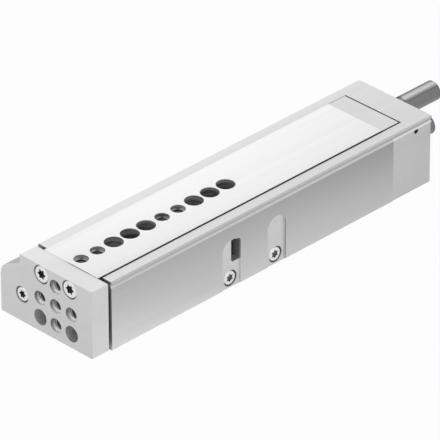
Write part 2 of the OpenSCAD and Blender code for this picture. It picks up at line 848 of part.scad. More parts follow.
module cage_left() { ball_cage(-1); }
module cage_right() { ball_cage(1); }
module balls_left() { ball_row(-1); }
module balls_right() { ball_row(1); }

// --- Nodes -------------------------------------------------------------------------------

housing();
guide_rail_left();
guide_rail_right();
bearing_cap();
rod_bush();
rod_seal();
cap_o_ring();
circlip();
stop_bar();
stop_bar_screws();
retract_shock_body();
retract_shock_nut();
retract_shock_plunger();
slide();
yoke_plate();
yoke_slide_screws();
yoke_rod_screw();
piston_rod();
piston();
piston_seal();
magnet_ring();
guide_ring();
piston_nut();
stop_block();
stop_block_screws();
extend_shock_body();
extend_shock_nut();
extend_shock_plunger();
cage_left();
balls_left();
cage_right();
balls_right();
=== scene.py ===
"""Looks of a compact pneumatic slide table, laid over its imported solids.

Every solid gets a node-based finish of its own, and the fine forms that the solids leave out, such
as screw threads, are worked out here as surfaces on grids of two parameters. All sizes are metres
in the table's own frame: +X is the way the slide extends, +Y the side of the stop screws, +Z up.
"""

import logging
from dataclasses import dataclass, field
from enum import Enum
from typing import Dict, List, Optional, Sequence, Tuple, Union

import bpy
import numpy as np
from mathutils import Matrix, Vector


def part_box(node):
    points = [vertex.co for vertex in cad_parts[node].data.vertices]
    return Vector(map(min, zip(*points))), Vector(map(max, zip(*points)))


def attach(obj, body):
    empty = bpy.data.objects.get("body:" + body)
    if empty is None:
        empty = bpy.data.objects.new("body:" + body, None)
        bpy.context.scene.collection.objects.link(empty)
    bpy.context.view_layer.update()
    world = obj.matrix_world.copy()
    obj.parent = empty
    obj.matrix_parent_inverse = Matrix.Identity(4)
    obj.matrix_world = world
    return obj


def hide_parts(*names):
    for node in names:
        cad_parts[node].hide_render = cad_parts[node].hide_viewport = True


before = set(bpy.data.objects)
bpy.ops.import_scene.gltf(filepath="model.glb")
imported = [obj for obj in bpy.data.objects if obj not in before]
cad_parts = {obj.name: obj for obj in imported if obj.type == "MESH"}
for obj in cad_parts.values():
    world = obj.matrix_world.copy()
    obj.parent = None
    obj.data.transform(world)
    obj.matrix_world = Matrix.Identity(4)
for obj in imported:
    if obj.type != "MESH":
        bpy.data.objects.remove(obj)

log = logging.getLogger("slide_table")
MM = 0.001
Pair = Tuple[float, float]
Triple = Tuple[float, float, float]
Point = Tuple[float, float, float]
Colour = Tuple[float, float, float]

# Widths over which a mask fades in past an edge
FINE = 0.05 * MM
SOFT = 0.1 * MM
WIDE = 0.2 * MM

# How far a face looks along an axis where it starts to count as square to it, and where it does
SQUARE = (0.8, 0.95)
LEVEL = (0.85, 0.98)

# The part of a noise's range that is stretched to 0 to 1, for clear marks and for soft ones
CLEAR = (0.35, 0.65)
BLURRED = (0.3, 0.7)


# --- Shader building ---------------------------------------------------------------------------


class Wire:
    """An output socket of a node, which Python's operators can combine."""

    def __init__(self, nodes: "Nodes", socket: bpy.types.NodeSocket) -> None:
        """Keeps the socket and the tree that it belongs to."""
        self.nodes = nodes
        self.socket = socket

    def __add__(self, other: "Term") -> "Wire":
        """Sum of two numbers."""
        return self.nodes.math("ADD", self, other)

    def __sub__(self, other: "Term") -> "Wire":
        """Difference of two numbers."""
        return self.nodes.math("SUBTRACT", self, other)

    def __rsub__(self, other: "Term") -> "Wire":
        """Difference, with this wire taken from the other number."""
        return self.nodes.math("SUBTRACT", other, self)

    def __mul__(self, other: "Term") -> "Wire":
        """Product of two numbers."""
        return self.nodes.math("MULTIPLY", self, other)

    def __truediv__(self, other: "Term") -> "Wire":
        """Quotient of two numbers."""
        return self.nodes.math("DIVIDE", self, other)

    def __rtruediv__(self, other: "Term") -> "Wire":
        """Quotient, with the other number divided by this wire."""
        return self.nodes.math("DIVIDE", other, self)

    def __neg__(self) -> "Wire":
        """This number with its sign turned."""
        return self.nodes.math("MULTIPLY", self, -1.0)

    def __abs__(self) -> "Wire":
        """This number without its sign."""
        return self.nodes.math("ABSOLUTE", self)

    __radd__ = __add__
    __rmul__ = __mul__

    def ramp(self, low: float, high: float) -> "Wire":
        """Rises from 0 where this wire is low to 1 where it is high, and stays level outside."""
        sockets = {"Value": self, "From Min": low, "From Max": high, "To Min": 0.0, "To Max": 1.0}
        return self.nodes.node("ShaderNodeMapRange", {"clamp": True}, sockets)

    def past(self, edge: float, soft: float = SOFT) -> "Wire":
        """0 up to an edge, and 1 from a fade's width past it."""
        return self.ramp(edge, edge + soft)

    def within(self, low: float, high: float, soft: float = SOFT) -> "Wire":
        """1 where this wire lies between low and high, and 0 outside."""
        return self.ramp(low - soft, low) * (1.0 - self.past(high, soft))

    def nearest(self, start: float, step: float) -> "Wire":
        """How far this wire is from the nearest of start, start + step, start - step and so on."""
        turns = (self - start) * (1.0 / step)
        return (turns - self.nodes.math("ROUND", turns)) * step


Term = Union[Wire, float]
Sockets = Dict[Union[str, int], object]


class Nodes:
    """A tree of nodes, and the ways in which it grows."""

    def __init__(self, tree: bpy.types.NodeTree) -> None:
        """Keeps the tree."""
        self.tree = tree

    def add(
        self,
        kind: str,
        settings: Optional[Dict[str, object]] = None,
        sockets: Optional[Sockets] = None,
    ) -> bpy.types.Node:
        """Adds a node.

        Args:
            kind: the node's type.
            settings: its properties, which are set before its sockets.
            sockets: a value or a wire for each input.

        Returns:
            The node.
        """
        made = self.tree.nodes.new(kind)
        for key, value in (settings or {}).items():
            setattr(made, key, value)
        for key, value in (sockets or {}).items():
            self.feed(made.inputs[key], value)
        return made

    def node(
        self,
        kind: str,
        settings: Optional[Dict[str, object]] = None,
        sockets: Optional[Sockets] = None,
        output: Union[str, int] = 0,
    ) -> Wire:
        """Adds a node, as add does, and gives the wire of one of its outputs."""
        return Wire(self, self.add(kind, settings, sockets).outputs[output])

    def feed(self, socket: bpy.types.NodeSocket, value: object) -> None:
        """Links a wire to an input, or sets a plain value on it.

        Args:
            socket: the input.
            value: a wire, or a value; a colour has three channels and is made opaque here.
        """
        if isinstance(value, Wire):
            self.tree.links.new(value.socket, socket)
        elif socket.type == "RGBA":
            socket.default_value = (*value, 1.0)
        else:
            socket.default_value = value

    def math(self, operation: str, a: Term, b: Term = 0.0) -> Wire:
        """One Math node of that operation on two numbers."""
        return self.node("ShaderNodeMath", {"operation": operation}, {0: a, 1: b})

    def length(self, a: Wire, b: Wire) -> Wire:
        """How long a line is that reaches a one way and b across: the root of a^2 + b^2."""
        return self.math("SQRT", a * a + b * b)

    def most(self, first: Wire, second: Wire) -> Wire:
        """The greater of two numbers."""
        return self.math("MAXIMUM", first, second)

    def parts(self, vector: Wire) -> List[Wire]:
        """The three numbers of a vector."""
        split = self.add("ShaderNodeSeparateXYZ", None, {0: vector})
        return [Wire(self, output) for output in split.outputs]

    def seen(self) -> Wire:
        """Tells the rays that see a surface from those that only light something.

        Returns:
            1 for rays that see it directly, in a mirror or through glass.
        """
        rays = self.add("ShaderNodeLightPath").outputs
        names = ("Is Camera Ray", "Is Glossy Ray", "Is Transmission Ray")
        camera, mirror, glass = (Wire(self, rays[name]) for name in names)
        return self.most(self.most(camera, mirror), glass)


class Shader(Nodes):
    """The nodes of one material, round one Principled shader."""

    def __init__(self, name: str) -> None:
        """Makes a material.

        Args:
            name: the material's name.
        """
        self.material = bpy.data.materials.new(name)
        self.material.use_nodes = True
        super().__init__(self.material.node_tree)

    def place(self) -> Wire:
        """Position in the table's frame."""
        return self.node("ShaderNodeTexCoord", output="Object")

    def normal(self) -> Wire:
        """The surface's own direction."""
        return self.node("ShaderNodeNewGeometry", output="Normal")

    def facing(self) -> List[Wire]:
        """How far the surface looks along each axis, from -1 to 1."""
        return self.parts(self.normal())

    def soft_normal(self, radius: float) -> Wire:
        """The surface's direction with every edge rounded to that radius."""
        return self.node("ShaderNodeBevel", {"samples": 6}, {"Radius": radius})

    def noise(self, vector: Wire, scale: Triple, detail: float = 2.0, rough: float = 0.5) -> Wire:
        """Smooth noise round 0.5.

        Args:
            vector: the place in the noise.
            scale: what each of the place's numbers is multiplied by: lumps per metre.
            detail: how many finer layers of noise are added.
            rough: how strong each of those is beside the one before.

        Returns:
            The noise.
        """
        where = self.node("ShaderNodeVectorMath", {"operation": "MULTIPLY"}, {0: vector, 1: scale})
        sockets = {"Vector": where, "Scale": 1.0, "Detail": detail, "Roughness": rough}
        return self.node("ShaderNodeTexNoise", None, sockets)

    def tint(self, factor: Term, dark: Union[Wire, Colour], light: Colour) -> Wire:
        """A colour between dark, at factor 0, and light, at factor 1."""
        settings = {"data_type": "RGBA", "clamp_factor": True}
        return self.node("ShaderNodeMix", settings, {0: factor, 6: dark, 7: light}, output=2)

    def edge_mask(self, soft: Wire, least: float = 0.02, full: float = 0.25) -> Wire:
        """Finds the sharp edges, where a rounded direction leans from the true one.

        Args:
            soft: the surface's direction with its edges rounded.
            least: 1 less the dot product of both directions, where an edge starts to count.
            full: the same where it counts in full.

        Returns:
            1 on sharp edges and 0 on open faces.
        """
        sockets = {0: soft, 1: self.normal()}
        lean = self.node("ShaderNodeVectorMath", {"operation": "DOT_PRODUCT"}, sockets, "Value")
        return (1.0 - lean).ramp(least, full)

    def relief(self, height: Wire, depth: float, normal: Wire) -> Wire:
        """A surface direction that follows a height from 0 to 1, depth metres from low to high."""
        sockets = {"Strength": 1.0, "Distance": depth, "Height": height, "Normal": normal}
        return self.node("ShaderNodeBump", None, sockets)

    def principled(self, **values: object) -> bpy.types.Material:
        """Feeds the Principled shader.

        Args:
            values: a value or a wire for each socket, with underscores for blanks in its name.

        Returns:
            The finished material.
        """
        surface = self.tree.nodes["Principled BSDF"]
        for key, value in values.items():
            self.feed(surface.inputs[key.replace("_", " ")], value)
        return self.material


# --- Finishes ----------------------------------------------------------------------------------


class Grain(Enum):
    """How the marks of the last machining lie on a metal."""

    DRAWN = "fine lines along X, from the extrusion die or the grinding wheel"
    BLASTED = "even fine grain"
    MILLED = "arcs round the X axis, from the face mill"
    TURNED = "rings across the X axis"


def grey(light: float) -> Colour:
    """A colour without a tint."""
    return (light, light, light)


def scaled(colour: Colour, by: float) -> Colour:
    """The colour with each channel multiplied, and no more than 1."""
    return tuple(min(1.0, c * by) for c in colour)  # type: ignore[return-value]


@dataclass(frozen=True)
class Drift:
    """A painted shade that changes evenly along a face, standing in for soft light.

    A shade says how much lighter than its colour a face is: 0.1 is a tenth lighter.

    Attributes:
        base: the shade at the frame's origin.
        rate: how much lighter the face gets per metre along X, Y and Z.
    """

    base: float
    rate: Triple

    def over(self, place: Sequence[Wire]) -> Term:
        """Works the shade out as base + rate . place.

        Args:
            place: the three numbers of the place.

        Returns:
            The shade there.
        """
        shade: Term = self.base
        for part, rate in zip(place, self.rate):
            shade = part * rate + shade if rate else shade
        return shade


@dataclass(frozen=True)
class Metal:
    """A machined metal surface.

    Attributes:
        name: the material's name.
        colour: its base colour.
        metallic: 1 for bare metal, less under an anodised or nitrided layer.
        roughness: how dull it is on open faces.
        grain: the lie of its machining marks.
        pitch: the distance between marks.
        depth: how deep the marks are.
        edge: the radius of its broken edges.
        edge_glow: how light a worn edge is beside its colour.
        bands: how light the darkest and the lightest of its broad bands are.
        gloss: how much the roughness changes over the bands, and how much an edge takes off it.
    """

    name: str
    colour: Colour
    metallic: float = 1.0
    roughness: float = 0.35
    grain: Grain = Grain.BLASTED
    pitch: float = 0.12 * MM
    depth: float = 0.002 * MM
    edge: float = 0.15 * MM
    edge_glow: float = 1.08
    bands: Pair = (0.965, 1.03)
    gloss: Pair = (0.05, 0.06)

    def shade(self, shader: Shader, place: Wire) -> Optional[Wire]:
        """Painted light and shade: what the colour is multiplied by from place to place.

        A plain metal has none.

        Args:
            shader: the material in the making.
            place: position in the table's frame.

        Returns:
            1 plus the painted shade, or None.
        """
        return None

    def marks(self, shader: Shader, place: Wire) -> Tuple[Wire, Wire]:
        """The height of the machining marks, as noise.

        Fine marks have one lump in a pitch, and drawn ones are 80 times as long along X. Rings and
        arcs are noise of one number, which barely changes along X: the distance from the X axis,
        and for turned rings the place along X on top. Broad bands have 60 to 260 lumps per metre
        each way, but drawn ones only 3 along X.

        Args:
            shader: the material in the making.
            place: position in the table's frame.

        Returns:
            Fine marks and broad bands, both from 0 to 1.
        """
        step = 1.0 / self.pitch
        if self.grain is Grain.DRAWN:
            fine = shader.noise(place, (0.012 * step, step, step), 3.0, 0.6)
            broad = shader.noise(place, (3.0, 260.0, 260.0))
        elif self.grain is Grain.BLASTED:
            fine = shader.noise(place, (step, step, step), 3.0, 0.6)
            broad = shader.noise(place, (60.0, 60.0, 60.0), 3.0, 0.55)
        else:
            x, y, z = shader.parts(place)
            radius = shader.length(y, z)
            rings = radius if self.grain is Grain.MILLED else x + radius
            line = shader.node("ShaderNodeCombineXYZ", None, {0: rings, 1: x})
            fine = shader.noise(line, (step, 4.0, 0.0))
            broad = shader.noise(place, (90.0, 90.0, 90.0))
        return fine, broad

    def material(self) -> bpy.types.Material:
        """Builds the material: marks as relief, bands in colour and gloss, light worn edges.

        Colour and gloss follow seven parts of the bands and three parts of the marks. The colour is
        then multiplied by any painted light and shade.

        Returns:
            The material.
        """
        shader = Shader(self.name)
        place = shader.place()
        fine, broad = self.marks(shader, place)
        soft = shader.soft_normal(self.edge)
        edge = shader.edge_mask(soft)
        mix = (broad * 0.7 + fine * 0.3).ramp(*BLURRED)
        dark, light = (scaled(self.colour, by) for by in self.bands)
        base = shader.tint(mix, dark, light)
        worn = shader.tint(edge, base, scaled(self.colour, self.edge_glow))
        # Painted light and shade multiplied into the colour: from here it holds worn edges and
        # painted shade.
        shade = self.shade(shader, place)
        if shade is not None:
            worn = shader.node("ShaderNodeVectorMath", {"operation": "SCALE"}, {0: worn, 3: shade})
        return shader.principled(
            Base_Color=worn,
            Metallic=self.metallic,
            Roughness=(mix - 0.5) * self.gloss[0] + (self.roughness - edge * self.gloss[1]),
            Normal=shader.relief(fine, self.depth, soft),
        )


@dataclass(frozen=True)
class Extruded(Metal):
    """The housing's skin: drawn and anodised, with milled flats, a lip and shaded ends.

    Its shades are painted light and shade, laid into the colour for how the light falls; the
    flats' shade also holds their own milled finish.

    Attributes:
        skin: painted shade of upright faces, darker towards the top and the rear.
        top: shade of level faces.
        flat: shade of the milled flats on the stop side: their finish, and painted light.
        flat_span: where those lie along Y.
        cuts: cutter lines per metre on them along X and Z, and how strongly they show.
        rear_flat: where the rear flat ends along X.
        groove: painted shade of the groove under the lip.
        lip: painted shade of the lip.
        lip_heights: heights of the bevel's foot, of its head and of the lip's underside.
        crest: where the lip's rounding starts and ends over its underside, and how much of the
            lip's shade is lost on it.
        bevel: painted highlight of the bevel, what is added to it over the rear flat, and its
        painted shadow just under its head.
        under: how far under the head that painted shadow starts, and where it is full.
        channel: half the width of the slide's channel, the height of its floor, and how far over
            that its end's shade is full.
        front_from: where along X faces start to belong to the front end, and where they do.
        ends: painted shades of the front end, of the face that ends the channel and of all others
        that look the same way.
        ledge: painted light on the pockets' ends, and painted shade on the rear pocket's brink.
        between: places along X between the two pockets, over which the brink's shade fades.
        pit: the middle of the small hole in the rear flat, on X and Z, and its radius.
        pit_from: where along Y the hole's shade starts and is full.
        pit_shade: painted shade in the hole.
    """

    skin: Drift = Drift(0.07, (1.7, 0.0, -11.6))
    top: Drift = Drift(0.08, (0.2, -2.2, 0.0))
    flat: Drift = Drift(0.07, (1.7, 0.0, 0.0))
    flat_span: Pair = (22.3 * MM, 22.9 * MM)
    cuts: Triple = (1800.0, 50.0, 0.04)
    rear_flat: float = -77.0 * MM
    groove: Drift = Drift(-0.3, (2.0, 0.0, 0.0))
    lip: Drift = Drift(-0.23, (1.1, 0.0, 0.0))
    lip_heights: Triple = (32.0 * MM, 33.2 * MM, 33.9 * MM)
    crest: Triple = (0.5 * MM, 0.9 * MM, 0.9)
    bevel: Triple = (0.08, 0.25, -0.15)
    under: Pair = (0.35 * MM, 0.2 * MM)
    channel: Triple = (17.8 * MM, 26.0 * MM, 0.5 * MM)
    front_from: Pair = (95.0 * MM, 96.0 * MM)
    ends: Triple = (-0.58, -0.8, -0.2)
    ledge: Pair = (0.15, -0.75)
    between: Pair = (5.0 * MM, 10.0 * MM)
    pit: Triple = (-92.65 * MM, 30.85 * MM, 1.3 * MM)
    pit_from: Pair = (18.0 * MM, 19.0 * MM)
    pit_shade: float = -0.6

    def shade(self, shader: Shader, place: Wire) -> Optional[Wire]:
        """Blends the painted shades of the skin, the flats, the bevel, the lip and the ends by
        mask.

        Args:
            shader: the material in the making.
            place: position in the table's frame.

        Returns:
            1 plus the shade.
        """
        x, y, z = spot = shader.parts(place)
        along, across, up = shader.facing()
        end = along.ramp(*SQUARE)
        side = across.ramp(*SQUARE)
        foot, head, underside = self.lip_heights
        milled = y.within(*self.flat_span) * side * (1.0 - z.past(foot, WIDE))
        groove = z.within(head, underside) * side
        lip = z.past(underside, WIDE) * side
        crest = z.ramp(underside + self.crest[0], underside + self.crest[1]) * self.crest[2]
        upright = 1.0 - abs(up).ramp(0.2, 0.5)
        open_skin = upright * (1.0 - milled) * (1.0 - end) * (1.0 - groove) * (1.0 - lip)
        lines_x, lines_z, strength = self.cuts
        cuts = shader.noise(place, (lines_x, 0.0, lines_z)).ramp(*CLEAR) - 0.5
        pit_x, pit_z, radius = self.pit
        pit = (1.0 - shader.length(x - pit_x, z - pit_z).past(radius)) * y.ramp(*self.pit_from)
        return (
            self.skin.over(spot) * open_skin
            + milled * (cuts * strength + self.flat.over(spot)) * (1.0 - pit)
            + groove * self.groove.over(spot)
            + lip * self.lip.over(spot) * (1.0 - crest)
            + up.ramp(*LEVEL) * self.top.over(spot)
            + self.bevel_shade(x, z, across, up)
            + pit * self.pit_shade
            + self.end_shade(x, y, z, end)
            + 1.0
        )

    def bevel_shade(self, x: Wire, z: Wire, across: Wire, up: Wire) -> Wire:
        """The painted light on the bevel, which looks half up and half to the stop side.

        Args:
            x: place along X.
            z: height.
            across: how far the face looks along Y.
            up: how far it looks up.

        Returns:
            The shade, and 0 off the bevel.
        """
        head = self.lip_heights[1]
        slant = up.ramp(0.4, 0.55) * (1.0 - up.ramp(0.7, 0.85)) * across.ramp(0.3, 0.5)
        rear = 1.0 - x.past(self.rear_flat, WIDE)
        shaded = z.ramp(head - self.under[0], head - self.under[1])
        plain, added, under = self.bevel
        return slant * ((rear * added + plain) * (1.0 - shaded) + shaded * under)

    def end_shade(self, x: Wire, y: Wire, z: Wire, end: Wire) -> Wire:
        """The painted shade of the faces that look forwards.

        Args:
            x: place along X.
            y: place along Y.
            z: height.
            end: 1 on those faces.

        Returns:
            The shade, and 0 on other faces.
        """
        half, floor, fade = self.channel
        low, high = self.flat_span
        front = end * x.ramp(*self.front_from)
        inner = end * y.within(-half, half) * z.past(floor, fade) * (1.0 - front)
        ledge = end * y.past(low)
        brink = y.past(high) * (1.0 - x.ramp(*self.between))
        front_shade, inner_shade, other_shade = self.ends
        return (
            front * front_shade
            + inner * inner_shade
            + (end - front - inner - ledge) * other_shade
            + ledge * (self.ledge[0] - brink * (self.ledge[0] - self.ledge[1]))
        )


@dataclass(frozen=True)
class Ground(Metal):
    """The slide's skin: a bright ground top with painted light, and painted shade elsewhere.

    Attributes:
        scale: how light the painted shade leaves the holes' walls.
        sides: how light the painted shadow of the gaps leaves the long sides and their chamfers.
        rings: distance between the drill's rings in the holes.
        ring_light: how light the walls are between the rings, and how much more on them.
        depth_light: how light the painted shade leaves the walls deep down, and how much more at
        their mouths.
        deep: how far under the top a wall counts as deep.
        thread_loss: how much of its light a threaded wall loses to painted shade.
        floor_light: painted light of the recess floors, and how much more beside their axes.
        lit: painted light of the top, before the painted highlight's curve is taken off.
        brightest: where along X the curve takes nothing off, the peak of the painted highlight.
        falling: how fast it grows with the square of the distance from there.
        top: height of the ground top.
        half: half the slide's width.
        chamfer: width of the chamfer between the top and the long sides.
        first: where the first hole's axis lies along X.
        grid: distance between neighbouring holes.
        recess: depth of the centring recesses, below which the threads start.
        bore: radius within which a hole is a threaded one.
        brink: depth at a thread's mouth over which its shade starts.
    """

    scale: float = 0.55
    sides: float = 0.05
    rings: float = 0.6 * MM
    ring_light: Pair = (0.3, 1.2)
    depth_light: Pair = (0.75, 0.85)
    deep: float = 3.0 * MM
    thread_loss: float = 0.9
    floor_light: Pair = (0.05, 0.55)
    lit: Drift = Drift(1.08, (-0.4, -3.5, 0.0))
    brightest: float = 25.0 * MM
    falling: float = 7.0
    top: float = 35.9 * MM
    half: float = 17.4 * MM
    chamfer: float = 0.4 * MM
    first: float = 98.25 * MM
    grid: float = 10.0 * MM
    recess: float = 1.8 * MM
    bore: float = 2.7 * MM
    brink: float = 0.3 * MM

    def shade(self, shader: Shader, place: Wire) -> Optional[Wire]:
        """A slow drift of painted light over the top, and painted shade elsewhere.

        The recess floors' painted light is strongest beside their axes, by
        |u^2 - y^2| / (u^2 + y^2), where u is the distance along X from the nearest hole's axis, and all
        of them lie at y = 0.

        Args:
            shader: the material in the making.
            place: position in the table's frame.

        Returns:
            How light the surface is beside its colour.
        """
        x, y, z = spot = shader.parts(place)
        up = shader.facing()[2]
        level = up.ramp(*SQUARE) * (1.0 - y.past(self.half - self.chamfer, FINE))
        ground = level * z.ramp(self.top - self.chamfer, self.top - SOFT)
        u = x.nearest(self.first, self.grid)
        beside = abs(u * u - y * y) / (u * u + y * y)
        edge = abs(y).ramp(self.half - self.chamfer - SOFT, self.half - self.chamfer + SOFT)
        wall = self.wall(shader, place, z, shader.length(u, y))
        off = x - self.brightest
        lit = self.lit.over(spot) - off * off * self.falling
        return (
            ground * lit
            + (level - ground) * (beside * self.floor_light[1] + self.floor_light[0])
            + (1.0 - level) * (edge * (self.sides - wall) + wall)
        )

    def wall(self, shader: Shader, place: Wire, z: Wire, radius: Wire) -> Wire:
        """How light the walls of the holes are under their painted shade.

        They have rings along Z, and painted shade that darkens them with depth and takes their
        light in a threaded part.

        Args:
            shader: the material in the making.
            place: position in the table's frame.
            z: height.
            radius: distance from the nearest hole's axis.

        Returns:
            The lightness.
        """
        ring = shader.noise(place, (60.0, 60.0, 1.0 / self.rings)).ramp(*CLEAR)
        shallow = z.ramp(self.top - self.deep, self.top)
        below = 1.0 - z.past(self.top - self.recess - self.brink, WIDE)
        thread = (1.0 - radius.past(self.bore)) * below
        light = (ring * self.ring_light[1] + self.ring_light[0]) * self.scale
        light = light * (shallow * self.depth_light[1] + self.depth_light[0])
        return light * (1.0 - thread * self.thread_loss)


@dataclass(frozen=True)
class Bored(Metal):
    """A plate's skin with painted light and shade, and dark painted shade in its holes along X.

    Attributes:
        middle: height of the plate's middle, and of the middle hole of its cross.
        reach: how far the cross of threaded holes reaches from its middle, on Y and on Z.
        arm: half the width of the cross's arms.
        grid: distance between neighbouring holes.
        rim: radius within which a centring recess lies.
        low_row: heights over the middle between which the plain holes lie.
        face: where the plate's front lies along X.
        recess: depth of the centring recesses, below which the threads start.
        brink: depth at a recess's and at a thread's mouth over which its shade starts.
        front: painted shade of the front, lighter towards the top.
        top: painted shade of level faces.
        slope: painted shade of faces that lean towards the cylinder side.
        side: painted light of the face on the stop side.
        thread: painted shade of the threaded part of a hole.
        floor: painted light of the recesses' floors, and what is added in their painted shadow.
        shadow: how much that painted shadow sinks with the distance along Y, and how far over the
        axis it starts and is full.
        wall: painted shade of the recesses' walls, and painted light added where they look up.
        plain: painted shade of the plain holes' walls, what is added where they look up, and
        what where they look to the stop side.
    """

    middle: float = 18.2 * MM
    reach: float = 14.5 * MM
    arm: float = 4.5 * MM
    grid: float = 10.0 * MM
    rim: float = 3.6 * MM
    low_row: Pair = (-14.7 * MM, -4.8 * MM)
    face: float = 114.25 * MM
    recess: float = 1.8 * MM
    brink: float = 0.3 * MM
    front: Drift = Drift(-0.05548, (0.0, 0.0, 1.4))
    top: Drift = Drift(0.05, (0.0, -1.6, 0.0))
    slope: float = -0.5
    side: float = 0.12
    thread: float = -0.88
    floor: Pair = (0.2, -0.7)
    shadow: Triple = (0.4, 0.2 * MM, 2.4 * MM)
    wall: Pair = (-0.5, 0.7)
    plain: Triple = (0.12, -0.4, 0.2)

    def shade(self, shader: Shader, place: Wire) -> Optional[Wire]:
        """Blends the painted shades of the holes, the front, the slope and the side by mask.

        Args:
            shader: the material in the making.
            place: position in the table's frame.

        Returns:
            1 plus the shade.
        """
        x, y, z = spot = shader.parts(place)
        along, across, up = shader.facing()
        v = z - self.middle
        square = along.ramp(*SQUARE)
        row = y.within(-self.reach, self.reach)
        post = v.within(-self.reach, self.reach) * y.within(-self.arm, self.arm)
        cross = shader.most(row * v.within(-self.arm, self.arm), post)
        away, over = y.nearest(0.0, self.grid), v.nearest(0.0, self.grid)
        hole = cross * (1.0 - shader.length(away, over).past(self.rim))
        recess = hole * (1.0 - x.past(self.face - self.brink, WIDE) * square)
        below = 1.0 - x.past(self.face - self.recess - self.brink, self.brink)
        thread = recess * below * (1.0 - square)
        floor = recess * square
        sinks, starts, full = self.shadow
        shadow = (over - away * sinks).ramp(starts, full)
        plain = row * v.within(*self.low_row) * (1.0 - cross) * (1.0 - abs(along).ramp(0.2, 0.6))
        lean = across.ramp(-0.3, -0.45) * up.ramp(0.5, 0.8)
        solid = (1.0 - recess) * (1.0 - plain)
        base, looks_up, looks_across = self.plain
        inside = up.ramp(0.1, 0.9) * looks_up + across.ramp(0.3, 0.9) * looks_across + base
        return (
            floor * (shadow * self.floor[1] + self.floor[0])
            + (recess - thread - floor) * (up.ramp(0.1, 0.8) * self.wall[1] + self.wall[0])
            + thread * self.thread
            + plain * inside
            + square * (1.0 - recess) * self.front.over(spot)
            + up.ramp(*LEVEL) * solid * self.top.over(spot)
            + lean * self.slope
            + across.ramp(*SQUARE) * solid * self.side
            + 1.0
        )


@dataclass(frozen=True)
class Tapped(Metal):
    """Thread flanks in the plate: painted light at the mouth, and dark below as painted shade.

    Attributes:
        fade: where along X the light starts and where it is full.
        lit: how much lighter the painted light makes the first turns.
    """

    fade: Pair = (111.15 * MM, 112.06 * MM)
    lit: float = 4.0

    def shade(self, shader: Shader, place: Wire) -> Optional[Wire]:
        """Paints light on the first turns."""
        return shader.parts(place)[0].ramp(*self.fade) * self.lit + 1.0


@dataclass(frozen=True)
class Sided(Metal):
    """A metal with painted shade on its face on the stop side and on its edges there and at the
    rear.

    Attributes:
        dark: their painted shade, for the shadow in the gaps beside them.
        reach: where the rear edge and the edge on the stop side start, on X and on Y.
    """

    dark: float = -0.94
    reach: Pair = (-86.95 * MM, 16.65 * MM)

    def shade(self, shader: Shader, place: Wire) -> Optional[Wire]:
        """Picks the faces out by their direction, and the edges by their place, for the painted
        shade.

        Args:
            shader: the material in the making.
            place: position in the table's frame.

        Returns:
            1 plus the shade.
        """
        x, y, _ = shader.parts(place)
        along, across, _ = shader.facing()
        rear = (1.0 - x.past(self.reach[0], FINE)) * along.ramp(-0.9, -0.8)
        edge = y.past(self.reach[1], FINE)
        return shader.most(across.ramp(0.5, 0.65), shader.most(rear, edge)) * self.dark + 1.0


@dataclass(frozen=True)
class Coated(Metal):
    """A coated cylinder along X: a painted highlight stripe on top and painted shade on its flanks.

    Attributes:
        stripe: how much lighter the painted highlight makes the stripe.
        stripe_looks: where the stripe looks, on Y and on Z.
        behind: painted shade of the flank that faces the cylinder side.
        ahead: painted shade of the flank that faces the stop side, and of the underside.
    """

    stripe: float = 1.75
    stripe_looks: Pair = (0.2, 0.98)
    behind: float = -0.6
    ahead: float = -0.25

    def shade(self, shader: Shader, place: Wire) -> Optional[Wire]:
        """Works the painted stripe and flank shade out from the surface's direction round the axis.

        Args:
            shader: the material in the making.
            place: position in the table's frame.

        Returns:
            1 plus the shade.
        """
        _, across, up = shader.facing()
        towards_y, towards_z = self.stripe_looks
        stripe = (across * towards_y + up * towards_z).ramp(0.9, 1.0)
        ahead = across.within(0.35, 0.6, 0.15) * up.ramp(0.2, 0.4) + (-up).ramp(0.2, 0.7)
        behind = across.ramp(-0.02, -0.2)
        return stripe * self.stripe + behind * self.behind + ahead * self.ahead + 1.0


class Facing(Enum):
    """Where screw heads look: number of the axis, sign along it, and number of a pair's axis."""

    FORWARDS = (0, 1.0, 1)
    BACKWARDS = (0, -1.0, 1)
    STOP_SIDE = (1, 1.0, 0)


